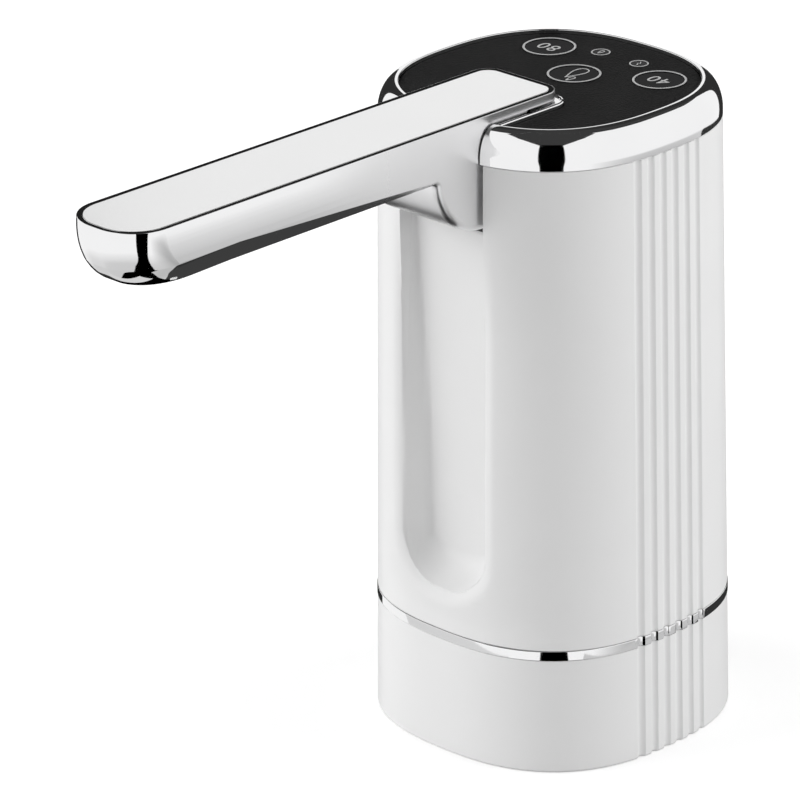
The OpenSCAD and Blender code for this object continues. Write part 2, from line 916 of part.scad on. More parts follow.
// Screws that hold the pump's ears and the frame's foot to the ceiling
module frame_screws() {
    color("lightgray") {
        for (p = pump_ears)
            translate([p[0], p[1], pump_z + ear_r])
                mirror([0, 0, 1])
                    pan_screw(screw_r, pump_z + ear_r - ceiling_z + ceiling_t, screw_head_r, screw_head_t);
        for (p = foot_screws)
            translate([p[0], p[1], ceiling_z + frame_foot])
                mirror([0, 0, 1])
                    pan_screw(screw_r, frame_foot + ceiling_t, screw_head_r, screw_head_t);
    }
}

// Neck and pump

module neck_liner() {
    color("gainsboro")
        difference() {
            cylinder(neck_depth + stop_t, r = neck_r + liner_t, $fn = 128);
            translate([0, 0, -1])
                cylinder(neck_depth + 1, r = neck_r, $fn = 128);
            cylinder(neck_depth + stop_t + 1, r = sleeve_r - stop_in, $fn = 128);
        }
}

module inlet_spigot() {
    shoulder = 1.6;
    low = ceiling_z - ceiling_t - shoulder - spigot_l;
    chamfer = 0.8;
    color("dimgray")
        difference() {
            union() {
                translate([0, 0, low])
                    cylinder(chamfer, r1 = spigot_r - chamfer, r2 = spigot_r, $fn = 48);
                translate([0, 0, low + chamfer])
                    cylinder(spigot_l, r = spigot_r, $fn = 48);
                translate([0, 0, low + spigot_l])
                    cylinder(ceiling_z - low - spigot_l, r = spigot_r + 1, $fn = 48);
                translate([0, 0, ceiling_z])
                    cylinder(spigot_flange_t, r = spigot_flange, $fn = 48);
            }
            translate([0, 0, low - 1])
                cylinder(ceiling_z - low + 3, r = spigot_bore, $fn = 32);
        }
}

// Outline shared by the pump's body and its cover
module pump_outline() {
    for (p = [drive, idle])
        translate(p)
            circle(pump_r, $fn = 64);
    translate([mesh_x - pump_r, -pitch_r])
        square([2 * pump_r, gear_centres]);
    circle(inlet_r, $fn = 64);
    for (p = pump_ears) {
        translate(p)
            circle(ear_r, $fn = 32);
        translate([min(p[0], mesh_x), p[1] - ear_r])
            square([abs(p[0] - mesh_x), 2 * ear_r]);
    }
}

module pump_ear_holes() {
    for (p = pump_ears)
        translate([p[0], p[1], cover_z - 1])
            cylinder(pump_top, r = screw_r + slip, $fn = 24);
}

module pump_cover() {
    color("dimgray")
        difference() {
            translate([0, 0, cover_z])
                linear_extrude(pump_cover_t)
                    pump_outline();
            translate([0, 0, cover_z - 1])
                cylinder(spigot_flange_t + slip + 1, r = spigot_flange + slip, $fn = 48);
            translate([0, 0, cover_z - 1])
                cylinder(pump_cover_t + 2, r = spigot_bore, $fn = 32);
            translate([idle[0], idle[1], pump_z - 1.5])
                cylinder(2, r = shaft_r + pin_hold, $fn = 32);
            pump_ear_holes();
        }
}

module pump_body() {
    color("gray")
        difference() {
            union() {
                translate([0, 0, pump_z])
                    linear_extrude(pump_top - pump_z)
                        for (p = [drive, idle])
                            translate(p)
                                circle(pump_r, $fn = 64);
                translate([mesh_x - pump_r, -pitch_r, pump_z])
                    cube([2 * pump_r, gear_centres, pump_top - pump_z]);
                translate([0, 0, pump_z])
                    linear_extrude(ear_r)
                        pump_outline();
                translate([mesh_x, outlet[1] - outlet_block, pump_z])
                    cube([outlet[0] - mesh_x, 2 * outlet_block, outlet_top - pump_z]);
                translate([outlet[0], outlet[1], pump_z]) {
                    cylinder(outlet_top - pump_z, r = outlet_block, $fn = 48);
                    cylinder(outlet_top + nipple_l - pump_z, r = port_r, $fn = 48);
                }
            }
            pump_chambers();
            translate([drive[0], drive[1], pump_z])
                cylinder(pump_top, r = shaft_r + shaft_run, $fn = 32);
            translate([idle[0], idle[1], pump_z])
                cylinder(gear_t + 3.5, r = shaft_r + pin_hold, $fn = 32);
            pump_ear_holes();
            for (p = pump_ears)
                translate([p[0], p[1], pump_z + ear_r])
                    cylinder(pump_top, r = screw_head_r + slip, $fn = 32);
        }
}

// Gear chambers, the inlet and outlet pockets beside the mesh, and the way out to the nipple
module pump_chambers() {
    depth = gear_t + 2 * chamber_gap;
    translate([0, 0, pump_z - eps]) {
        for (p = [drive, idle])
            translate(p)
                cylinder(depth + eps, r = gear_tip + chamber_gap, $fn = 64);
        for (x = [0, 2 * mesh_x])
            translate([x, 0, 0])
                cylinder(depth + eps, r = port_pocket, $fn = 48);
    }
    translate([2 * mesh_x, outlet[1], outlet_z])
        rotate([0, 90, 0])
            cylinder(outlet[0] - 2 * mesh_x, r = port_bore, $fn = 32);
    translate([outlet[0], outlet[1], outlet_z - port_bore])
        cylinder(outlet_top + nipple_l, r = port_bore, $fn = 32);
}

// Gears

function involute(a) = tan(a) - a * PI / 180;

// Half the angle that a tooth fills at radius r
function tooth_half(r) =
    90 / gear_teeth - backlash / pitch_r * 45 / PI
    + (involute(pressure_angle) - involute(acos(min(1, gear_base / r)))) * 180 / PI;

flank_low = max(gear_root, gear_base);
flank_radii = [for (i = [0 : flank_steps]) flank_low + (gear_tip - flank_low) * i / flank_steps];

function tooth(a) = concat(
    [polar(gear_root, a - tooth_half(flank_low) * 1.1)],
    [for (r = flank_radii) polar(r, a - tooth_half(r))],
    [for (i = [flank_steps : -1 : 0]) polar(flank_radii[i], a + tooth_half(flank_radii[i]))],
    [polar(gear_root, a + tooth_half(flank_low) * 1.1)]
);

gear_outline = [for (i = [0 : gear_teeth - 1], p = tooth(i * 360 / gear_teeth)) p];

module gear(place, turn, bore) {
    translate([place[0], place[1], gear_z])
        rotate(turn)
            difference() {
                linear_extrude(gear_t)
                    polygon(gear_outline);
                translate([0, 0, -1])
                    cylinder(gear_t + 2, r = bore, $fn = 32);
            }
}

module drive_gear() {
    color("white")
        gear(drive, -90, shaft_r + pin_hold);
}

module idler_gear() {
    color("ivory")
        gear(idle, 90 + 180 / gear_teeth, shaft_r + shaft_run);
}

module idler_pin() {
    color("lightgray")
        translate([idle[0], idle[1], pump_z - 1.4])
            cylinder(gear_t + 4.6, r = shaft_r, $fn = 32);
}

module pump_motor() {
    cap_h = 3;
    lug = [1, 3, 4];
    color("silver")
        translate([drive[0], drive[1], motor_z])
            difference() {
                union() {
                    cylinder(motor_l - cap_h, r = motor_r, $fn = 64);
                    cylinder(motor_l, r = motor_r - 1.2, $fn = 64);
                    for (side = [-1, 1])
                        translate([side * motor_r * 0.6 - lug[0] / 2, -lug[1] / 2, motor_l - 1])
                            cube(lug);
                }
                translate([0, 0, -1])
                    cylinder(motor_l - 1, r = shaft_r + shaft_run, $fn = 32);
            }
}

module motor_shaft() {
    color("lightgray")
        translate([drive[0], drive[1], gear_z])
            cylinder(motor_z + motor_l - 4 - gear_z, r = shaft_r, $fn = 32);
}

// Frame, cell and charging socket

module inner_frame() {
    post_top = cell_z + cell_l + 2;
    color("lightslategray")
        difference() {
            union() {
                intersection() {
                    squircle_prism(frame_half, ceiling_z, frame_foot);
                    union() {
                        translate([-body_w, -body_w, ceiling_z - 1])
                            cube([body_w + foot_x, 2 * body_w, 2 * frame_foot]);
                        translate([-body_w, foot_y, ceiling_z - 1])
                            cube([body_w + wall_half, body_w, 2 * frame_foot]);
                    }
                }
                translate([cell_at[0], cell_at[1], ceiling_z])
                    cylinder(post_top - ceiling_z, r = cell_r + fit_gap + frame_t, $fn = 64);
                translate([drive[0], drive[1], saddle_z])
                    difference() {
                        cylinder(saddle_h, r = motor_r + fit_gap + frame_t, $fn = 64);
                        translate([0, -body_w, -1])
                            cube([body_w, 2 * body_w, saddle_h + 2]);
                    }
                translate([-wall_half, wall_y, ceiling_z])
                    cube([2 * wall_half, frame_t, port_h + charge_board_h / 2 - ceiling_z]);
            }
            translate([cell_at[0], cell_at[1], cell_z])
                cylinder(cell_l + fit_gap, r = cell_r + fit_gap, $fn = 64);
            translate([cell_at[0], cell_at[1], ceiling_z - 1])
                cylinder(cell_z - ceiling_z - 1, r = cell_r - 2, $fn = 64);
            translate([cell_at[0] + 2, cell_at[1] - body_w, cell_z + 8])
                cube([body_w, 2 * body_w, saddle_z - cell_z - 8]);
            translate([cell_at[0] + 2, cell_at[1] - body_w, saddle_z + saddle_h])
                cube([body_w, 2 * body_w, post_top - saddle_z - saddle_h - 6]);
            translate([foot_x, -body_w, ceiling_z - 1])
                cube([body_w, body_w + foot_y - 1, cell_z - ceiling_z - 2]);
            translate([drive[0], drive[1], motor_z - 1])
                cylinder(motor_l + 2, r = motor_r + fit_gap, $fn = 64);
            for (p = foot_screws)
                translate([p[0], p[1], ceiling_z - 1])
                    cylinder(frame_foot + 2, r = screw_r + slip, $fn = 24);
        }
}

module battery_cell() {
    color("steelblue")
        translate([cell_at[0], cell_at[1], cell_z + 0.1]) {
            cylinder(cell_l - 1.1, r = cell_r, $fn = 64);
            cylinder(cell_l - 0.1, r = cell_r * 0.36, $fn = 32);
        }
}

module charge_board() {
    color("darkgreen")
        translate([-charge_board_half, wall_y + frame_t, port_h - charge_board_h / 2])
            cube([2 * charge_board_half, board_t, charge_board_h]);
}

module charge_port() {
    back = wall_y + frame_t + board_t;
    mouth = half_at(port_h) - port_inset;
    tongue_l = 5;
    color("silver")
        intersection() {
            translate([-body_w, back, 0])
                cube([2 * body_w, mouth - back, seam_h]);
            union() {
                difference() {
                    charge_slot(0);
                    translate([0, mouth - tongue_l - 1.5, 0])
                        charge_slot(-port_shell);
                }
                translate([-port_w * 0.38, mouth - tongue_l - 2, port_h - 0.35])
                    cube([port_w * 0.76, tongue_l + 1, 0.7]);
            }
        }
}

// Hose

function unit(v) = v / norm(v);

// Point on a smooth curve through four points, at a share t of the way from b to c
function through(a, b, c, d, t) =
    0.5 * (2 * b + (c - a) * t + (2 * a - 5 * b + 4 * c - d) * t * t + (3 * b - a - 3 * c + d) * t * t * t);

function smooth_route(p) = let (n = len(p) - 1) concat(
    [for (i = [0 : n - 1], s = [0 : hose_steps - 1])
        through(p[max(i - 1, 0)], p[i], p[i + 1], p[min(i + 2, n)], s / hose_steps)],
    [p[n]]
);

// Ring of points of radius r round a route's point, square to the route
function hose_ring(p, dir, r) =
    let (side = unit(cross(dir, [1, 0.2, 0])), up = cross(side, dir))
        [for (i = [0 : hose_sides - 1])
            let (a = 360 * i / hose_sides)
                p + r * (side * cos(a) + up * sin(a))];

module hose(route, r, bore) {
    path = smooth_route(route);
    n = len(path);
    dirs = [for (i = [0 : n - 1]) unit(path[min(i + 1, n - 1)] - path[max(i - 1, 0)])];
    points = [
        for (radius = [r, bore], i = [0 : n - 1], p = hose_ring(path[i], dirs[i], radius))
            p
    ];
    inner = n * hose_sides;
    end = (n - 1) * hose_sides;
    skin = [for (j = [0 : n - 2], i = [0 : hose_sides - 1])
        let (k = (i + 1) % hose_sides, low = j * hose_sides, high = low + hose_sides)
            each [[low + i, low + k, high + k], [low + i, high + k, high + i]]];
    caps = [for (i = [0 : hose_sides - 1])
        let (k = (i + 1) % hose_sides)
            each [[i, inner + i, inner + k, k], [end + i, end + k, inner + end + k, inner + end + i]]];
    lining = [for (f = skin) [for (i = [2 : -1 : 0]) f[i] + inner]];
    polyhedron(points, concat(skin, lining, caps));
}

module riser_tube() {
    color("ivory")
        hose(hose_route, hose_r, hose_bore);
}

upper_shell();
base_collar();
chrome_band();
top_bezel();
touch_panel();
key_cap(key_places[0]);  // button_80
key_cap(key_places[1]);  // button_40
key_cap(key_places[2]);  // button_pour
indicator_lenses();
spout_body();
spout_cover();
spout_tube();
spout_nozzle();
hinge_seat();
hinge_pins();
water_port();
riser_tube();
neck_liner();
inlet_spigot();
pump_cover();
pump_body();
drive_gear();
idler_gear();
idler_pin();
pump_motor();
motor_shaft();
inner_frame();
battery_cell();
control_board();
tact_switches();
board_screws();
charge_board();
charge_port();
shell_screws();
frame_screws();
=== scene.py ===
import json
from math import asin, atan2, cos, pi, radians, sin, sqrt

import bmesh
import bpy
import numpy as np
from mathutils import Matrix, Vector


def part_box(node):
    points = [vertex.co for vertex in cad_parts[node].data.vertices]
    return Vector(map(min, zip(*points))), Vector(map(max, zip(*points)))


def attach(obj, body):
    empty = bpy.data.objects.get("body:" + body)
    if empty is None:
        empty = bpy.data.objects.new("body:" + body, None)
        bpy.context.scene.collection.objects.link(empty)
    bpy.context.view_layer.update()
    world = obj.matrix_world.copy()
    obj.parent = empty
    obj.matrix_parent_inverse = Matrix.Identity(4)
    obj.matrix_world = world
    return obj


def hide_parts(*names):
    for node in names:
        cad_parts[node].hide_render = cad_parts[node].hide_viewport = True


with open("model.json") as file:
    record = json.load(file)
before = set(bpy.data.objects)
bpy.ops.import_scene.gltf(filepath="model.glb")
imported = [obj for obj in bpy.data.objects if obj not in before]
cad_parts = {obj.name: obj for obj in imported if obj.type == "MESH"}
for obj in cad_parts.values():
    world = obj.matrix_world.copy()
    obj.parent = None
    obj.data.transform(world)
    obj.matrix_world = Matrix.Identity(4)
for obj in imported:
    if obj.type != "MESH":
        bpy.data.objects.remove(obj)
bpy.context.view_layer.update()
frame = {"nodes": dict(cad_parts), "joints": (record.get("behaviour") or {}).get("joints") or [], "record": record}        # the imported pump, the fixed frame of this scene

# Sizes are in millimetres, and meshes are scaled to metres as they are made
MM = 0.001
X, Y, Z = range(3)


def low(node, axis):
    """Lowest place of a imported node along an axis."""
    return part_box(node)[0][axis] / MM


def high(node, axis):
    """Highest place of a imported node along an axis."""
    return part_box(node)[1][axis] / MM


def half_size(node, axis):
    """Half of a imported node's size along an axis."""
    return (high(node, axis) - low(node, axis)) / 2


def middle_of(node):
    """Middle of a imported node's box."""
    return np.array([(low(node, axis) + high(node, axis)) / 2 for axis in (X, Y, Z)])


fold = next(joint for joint in frame["joints"] if joint["name"] == "spout_fold")
PIVOT = np.array(fold["pos_m"]) / MM

# Body
FOOT_HALF = high("base_collar", X)
TOP_HALF = high("top_bezel", X)
COLLAR_TOP = low("chrome_band", Z)
SHELL_FOOT = high("chrome_band", Z)
SEAM = PIVOT[Z]
RIM_TOP = high("top_bezel", Z)
PANEL_TOP = high("indicator_lenses", Z)
SQUARENESS = 2.5  # power of the rounded square in plan
WALL = 2.2
SEAM_CHAMFER = 0.14

# Flutes on the two sides
FLUTES = 6
FLUTE_PITCH = 3.7
FLUTE_R = 1.1
FLUTE_DEPTH = 0.65
FLUTE_SOFT = 0.1  # width of the rounding at their edges
FLUTE_ZONE = 0.31  # half of the fluted angle, in radians

# Collar, with the sleeve, ceiling and ribs inside it, and the band above it
FOOT_EDGE = 0.6
COLLAR_WALL = 1.9
SLEEVE_R = high("neck_liner", X) + 0.12
SLEEVE_OUT = SLEEVE_R + 1.3
SLEEVE_FOOT = 0.4
SLEEVE_CHAMFER = 0.2
NECK_STOP = high("neck_liner", Z)
STOP_R = SLEEVE_R - 4.5
CEILING = COLLAR_TOP - 1
CEILING_T = 2.4
SPIGOT_HOLE = 5.12
RIBS = 8
RIB_T = 1.4
RIB_FOOT = 2.0
RIB_IN_SLEEVE = 0.1
RIB_IN_WALL = 0.2
BAND_PROUD = 0.1
BAND_PLAY = 0.03
BAND_EDGE = 0.15

# Groove for the folded spout and pocket for its hinge barrel
FOLD_GAP = 0.5
GROOVE_LIP = 3.2  # width of the soft lip
LIP_DROP = 1.2
LIP_LEAST = 0.12  # share of the drop that is left near the hinge
LIP_FADE = (14.0, 40.0)  # below the hinge, where the drop starts to grow and where it is whole
SHELL_BACKING = 2.0
POCKET_R = 16.22
FRONT_SPAN = 20.0  # half width of the shell's front columns

# Charging socket at the back
SOCKET_PLAY = 0.35
SOCKET_CUT = (20.0, 45.0)  # from inside the shell to outside it

# Spout, in its own place with the pivot at the origin
ARM_HALF = half_size("spout_body", X)
ARM_RISE = high("spout_body", Z) - PIVOT[Z]
ARM_L = PIVOT[Y] - low("spout_body", Y)
ARM_T = 10.4
ARM_FALL = 2.4  # how much thicker the tip is than the root
TAIL_L = high("spout_body", Y) - PIVOT[Y]
TAIL_T = 2.0
TAIL_CORNER = 4.2
TAIL_EDGE = 0.3
TAIL_UNDER = ARM_RISE - TAIL_T
LEAST_CORNER = 0.2
BARREL_R = 14.4
BARREL_EDGE = 1.6
BARREL_MEET = asin(TAIL_UNDER / BARREL_R)
BARREL_SKIP = radians(3)
THROAT_R = 0.8
THROAT_Z = ARM_RISE - ARM_T - ARM_FALL * BARREL_R / ARM_L - THROAT_R
THROAT_Y = -sqrt((BARREL_R + THROAT_R) ** 2 - THROAT_Z ** 2)
THROAT_ANGLE = atan2(THROAT_Z, THROAT_Y)
NOSE_L = 7.5
NOSE_FROM = -68.0
NOSE_SHIFT = 1.75  # how far the nose's lower corners go back with its recess
NOSE_LEAN = 0.8
TIP_CORNER = 9.6
CORNER_X = ARM_HALF - TIP_CORNER
CORNER_Y = TIP_CORNER - ARM_L
ROOT_EDGE = 0.6
TIP_EDGE = 4.4
BEVEL = 0.6  # inset of the lower edges' bevel for each millimetre of its height
BEVEL_SWELL = 0.04
CROWN = 0.3
CROWN_FROM = -2.0
RIM_EDGE = 0.15
ARM_TOP = ARM_RISE - RIM_EDGE
NOZZLE_PLAY = 0.12
NOZZLE_CUT = (-2.0, 4.0)  # from below the nozzle's foot to above it

# Plate let into the spout's top, and a black strip of painted shade in the gap round it
COVER_RIM = 0.15
COVER_LIP = 0.1
COVER_T = 1.2
COVER_GAP = 1.0
COVER_EDGE = 0.2
COVER_PLAY = 0.05
GAP_SHADE_DROP = 0.05
GAP_SHADE_PLAY = 0.02

# Rim round the panel
RIM_W = 4.1
RIM_STRAIGHT = 1.2
RIM_LIP = 0.2
RIM_LEDGE = 1.8
RIM_PLAY = 0.04
SKIRT_IN = 4.4
SKIRT_DROP = 1.0
PANEL_T = 2.0
SLOT_HALF = ARM_HALF + 0.25

# Bead on the lip of the hinge seat
LIP_HALF, LIP_END, LIP_TOP = (high("hinge_seat", axis) for axis in (X, Y, Z))
LIP_CORNER = 4.4
LIP_START = 0.3
LIP_BEAD = 0.42
LIP_FLAT = 0.7  # height of the bead as a share of its width

# Marks on the keys and lamps
KEYS = ("80", "40", "pour")
KEY_DISH = 0.1
KEY_RING_R = 5.4
KEY_RING_BEAD = 0.24
DIGIT_SIZE = 4.8
DIGIT_SPACE = 1.15
DIGIT_T = 0.03
DROP_WIDTH = 0.62
DROP_POINT = 1.5
POUR_DROPS = (  # name, place from the key's middle, size, bead
    ("pour_drop", 0.0, 0.6, 3.3, 0.16),
    ("pour_bead", 1.45, -2.7, 1.3, 0.14),
)
LENS_R = 2.05
LENS_X = half_size("indicator_lenses", X) - LENS_R
LENS_Y = middle_of("indicator_lenses")[Y]
LAMP_RING_R = 1.9
LAMP_RING_BEAD = 0.16
LAMP_DROP = 0.95
LAMP_BOLT = ((-0.35, 0.95), (0.3, 0.1), (-0.3, -0.1), (0.35, -0.95))
LAMP_BEAD = 0.12
MARK_FLAT = 0.35

# Steps of the meshes and their tolerances
FLUTE_STEPS = 120
FACE_STEPS = 100
SLEEVE_STEPS = 128
WALL_EDGE_STEPS = 4
INNER_STEPS = (0, 0.2, 0.4, 0.55, 0.68, 0.78, 0.86, 0.92, 0.96, 0.985, 0.996, 1.0)
LIP_STEPS = 9
LAND_STEPS = 10
CORNER_STEPS = 40
BACK_STEPS = 80
FOOT_ROW = 1.5
ROW_GAP = 1.0
PLAIN_ROWS = 3
LIP_ROWS = 12
TURN_ROWS = 16
FLANK_ROWS = 22
POCKET_FROM = 8  # degrees from straight below the pivot
BISECTIONS = 36
RIM_STEPS = 420
RIM_ROUND_STEPS = 18
FINE_EDGE_STEPS = 5
EDGE_SHARES = (0, 0.015, 0.05, 0.12, 0.22, 0.4, 0.6, 0.8, 0.93, 0.98, 1.0)
EDGE_STEPS = len(EDGE_SHARES) - 1
BARREL_STEPS = 72
THROAT_STEPS = 10
BLADE_STEPS = 20
TIP_STEPS = 30
NOSE_STEPS = 6
NOSE_SHARES = (0.48, 0.56, 0.64, 0.72, 0.8, 0.87, 0.93, 0.97)
FLANK_LEVELS = (-8, -4, -1.0, 0.5, 2, 3.5, 5, 6.2, 7.2, 8.0, 8.6)
FLANK_FACING = 0.99
SOCKET_STEPS = 16
RING_STEPS = 72
SMALL_RING_STEPS = 48
DROP_STEPS = 40
LAMP_DROP_STEPS = 24
LIP_CORNER_STEPS = 10
BEAD_SIDES = 8
TOUCH = 1e-6
MERGE = 0.002
WELD = 0.001
SHARP = radians(32)


# Curves in plan

def squircle(half, theta):
    """Point of the rounded square at a polar angle."""
    c, s = np.cos(theta), np.sin(theta)
    r = half / (np.abs(c) ** SQUARENESS + np.abs(s) ** SQUARENESS) ** (1 / SQUARENESS)
    return r * c, r * s


def face_at(half, across):
    """Distance of the rounded square's face from its axis, at a place across it."""
    return half * (1 - (np.abs(across) / half) ** SQUARENESS) ** (1 / SQUARENESS)


def half_at(z):
    """Half width of the drafted body at a height."""
    return FOOT_HALF + (TOP_HALF - FOOT_HALF) * z / SEAM


def soft_max(a, b, soft):
    """Greater of two values, rounded where they cross."""
    blend = np.maximum(soft - np.abs(a - b), 0) / soft
    return np.maximum(a, b) + blend * blend * soft / 4


def fluted(half, theta):
    """Rounded square with the flutes on its two sides."""
    x, y = squircle(half, theta)
    share = half / FOOT_HALF
    pitch = FLUTE_PITCH * share
    first = (FLUTES - 1) / 2
    off = y - pitch * (np.clip(np.round(y / pitch + first), 0, FLUTES - 1) - first)
    r = FLUTE_R * share
    round_cut = np.sqrt(np.maximum(r * r - off * off, 0)) - r + FLUTE_DEPTH * share
    cut = np.where(np.abs(off) < r, soft_max(round_cut, 0 * off, FLUTE_SOFT) - FLUTE_SOFT / 4, 0)
    cut = np.where(np.abs(y) < np.abs(x), np.maximum(cut, 0), 0)
    return x - np.sign(x) * cut, y


def fan(start, end, count):
    """Even steps after a start, up to an end."""
    return np.linspace(start, end, count + 1)[1:]


def quarter(steps):
    """Angles of a quarter turn."""
    return np.linspace(0, pi / 2, steps + 1)


def rounding(r, steps):
    """[1 - cos, 1 - sin] of a quarter turn's angles, times a radius."""
    return [(r * (1 - cos(a)), r * (1 - sin(a))) for a in quarter(steps)]


def arc_points(centre, r, start, end, steps):
    """Points of an arc between two angles in degrees."""
    turn = np.radians(np.linspace(start, end, steps + 1))
    return [(centre[0] + r * cos(a), centre[1] + r * sin(a)) for a in turn]


def circle(r, steps, centre=(0, 0)):
    """Points of a whole circle."""
    return arc_points(centre, r, 0, 360 - 360 / steps, steps - 1)


def level(outline, z):
    """Outline in plan at a height."""
    return [(x, y, z) for x, y in outline]


# Meshes

def scaled(points):
    """Points in metres from points in millimetres."""
    return (MM * np.asarray(points, float)).tolist()


def mesh_of(name, points, faces):
    """New mesh from points in metres."""
    mesh = bpy.data.meshes.new(name)
    mesh.from_pydata([tuple(p) for p in points], [], faces)
    return mesh


def linked(name, data):
    """New object of the scene."""
    obj = bpy.data.objects.new(name, data)
    bpy.context.scene.collection.objects.link(obj)
    return obj


def smooth(obj):
    """Shades a piece smooth, apart from its sharp edges."""
    obj.data.shade_smooth()
    obj.data.set_sharp_from_angle(angle=SHARP)
    normals = obj.modifiers.new("normals", "WEIGHTED_NORMAL")
    normals.keep_sharp = True
    return obj


def piece(name, points, faces, body, slot, replaces=None, material=None, merge=True):
    """Mesh piece from points in millimetres, riding on a body, with its slot's look unless told."""
    mesh = mesh_of(name, scaled(points), faces)
    bm = bmesh.new()
    bm.from_mesh(mesh)
    if merge:
        bmesh.ops.remove_doubles(bm, verts=bm.verts, dist=MERGE * MM)
    bmesh.ops.recalc_face_normals(bm, faces=bm.faces)
    bm.to_mesh(mesh)
    bm.free()
    obj = linked(name, mesh)
    mesh.materials.append(material or LOOKS[slot])
    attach(obj, body)
    if replaces:
        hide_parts(replaces)
    return smooth(obj)


def ring_faces(rows, columns, around=True, along=False):
    """Quads of a grid of points, closed around it and, if asked, along it."""
    faces = []
    for i in range(rows if along else rows - 1):
        for j in range(columns if around else columns - 1):
            a, b = i * columns, (i + 1) % rows * columns
            k = (j + 1) % columns
            faces.append((a + j, a + k, b + k, b + j))
    return faces


def whole(outline):
    """Points of an outline and the one face that it bounds."""
    return outline, [tuple(range(len(outline)))]


def lofted(loops, around=True, along=False):
    """Points and faces of a grid of curves with the same number of places."""
    return [p for loop in loops for p in loop], ring_faces(len(loops), len(loops[0]), around, along)


def joined(blocks):
    """Points and faces of several blocks as those of one."""
    points, faces = [], []
    for block_points, block_faces in blocks:
        faces += [tuple(k + len(points) for k in face) for face in block_faces]
        points += block_points
    return points, faces


def caps(count, total):
    """Faces over the first and the last ring of points."""
    return [tuple(range(count))[::-1], tuple(range(total - count, total))]


def prism(outline, start, end):
    """Points and faces of a closed upright prism over an outline."""
    points, faces = lofted([level(outline, start), level(outline, end)])
    return points, faces + caps(len(outline), len(points))


def made_up(obj):
    """Mesh of an object with its modifiers or its text worked out."""
    bpy.context.view_layer.update()
    return bpy.data.meshes.new_from_object(obj.evaluated_get(bpy.context.evaluated_depsgraph_get()))


def cut_through(obj, points, faces):
    """Takes a closed cutter, given in millimetres, out of a piece."""
    cutter = linked("cutter", mesh_of("cutter", scaled(points), faces))
    cut = obj.modifiers.new("cut", "BOOLEAN")
    cut.operation = "DIFFERENCE"
    cut.solver = "EXACT"
    cut.object = cutter
    done = made_up(obj)
    obj.modifiers.clear()
    old = obj.data
    obj.data = done
    bpy.data.meshes.remove(old)
    bpy.data.objects.remove(cutter)
    return smooth(obj)


# Materials, with textures scaled for each metre
DRIFT_SCALE = 75.0
DRIFT_RANGE = (0.3, 0.7)
GRAIN_SCALE = 2500.0
GRAIN_DEPTH = 0.1
PEBBLE = 0.3
PEBBLE_DEPTH = 0.2
SATIN = (-85, -48)  # along Y, where the spout starts to dull and where it is satin
SATIN_ROUGHNESS = 0.27


def nodes_of(material):
    """Node tree of a material and its surface shader."""
    material.use_nodes = True
    return material.node_tree, material.node_tree.nodes["Principled BSDF"]


def fill(node, values):
    """Sets the values of a node's inputs."""
    for name, value in values.items():
        node.inputs[name].default_value = value


def add(tree, kind, values=None, **settings):
    """New shader node with its settings and the values of its inputs."""
    node = tree.nodes.new("ShaderNode" + kind)
    for name, value in settings.items():
        setattr(node, name, value)
    fill(node, values or {})
    return node


def link(*joins):
    """Joins nodes of a tree, each time as [node, its output, next node, its input]."""
    for start, output, end, socket in joins:
        start.id_data.links.new(start.outputs[output], end.inputs[socket])


def locate(node, socket="Vector"):
    """Feeds a node with the place on the object."""
    link((add(node.id_data, "TexCoord"), "Object", node, socket))


def ramp(tree, stops):
    """Colour ramp from [place, colour] stops."""
    node = add(tree, "ValToRGB")
    elements = node.color_ramp.elements
    while len(elements) < len(stops):
        elements.new(0.5)
    for element, (at, colour) in zip(elements, stops):
        element.position = at
        element.color = (*colour, 1)
    return node


def relief(shader, texture, output, strength, depth):
    """Bump on a shader's surface from a texture."""
    bump = add(shader.id_data, "Bump", {"Strength": strength, "Distance": depth * MM})
    link((texture, output, bump, "Height"), (bump, "Normal", shader, "Normal"))


def surface(name, colour, roughness, metallic=0.0, tone=0.03, spread=0.06, bump=0.02, specular=0.5):
    """Material with a drift of tone, a spread of roughness and a fine grain."""
    material = bpy.data.materials.new(name)
    tree, shader = nodes_of(material)
    fill(shader, {"Metallic": metallic, "Specular IOR Level": specular})
    drift = add(tree, "TexNoise", {"Scale": DRIFT_SCALE, "Detail": 3.0})
    fine = add(tree, "TexNoise", {"Scale": GRAIN_SCALE, "Detail": 2.0})
    tones = ([c * (1 - tone) for c in colour], [min(1, c * (1 + tone)) for c in colour])
    tint = ramp(tree, list(zip(DRIFT_RANGE, tones)))
    limits = {"To Min": max(0.0, roughness - spread), "To Max": min(1.0, roughness + spread)}
    rough = add(tree, "MapRange", limits)
    locate(drift)
    locate(fine)
    link((drift, "Fac", tint, "Fac"), (tint, "Color", shader, "Base Color"))
    link((fine, "Fac", rough, "Value"), (rough, "Result", shader, "Roughness"))
    if bump:
        relief(shader, fine, "Fac", bump, GRAIN_DEPTH)
    return material


def pebbled(name, colour, roughness, strength, specular):
    """Moulded black plastic with a fine pebbled texture."""
    material = surface(name, colour, roughness, tone=0.25, bump=0, specular=specular)
    tree, shader = nodes_of(material)
    pebbles = add(tree, "TexVoronoi", {"Scale": 1 / (PEBBLE * MM)}, feature="SMOOTH_F1")
    locate(pebbles)
    relief(shader, pebbles, "Distance", strength, PEBBLE_DEPTH)
    return material


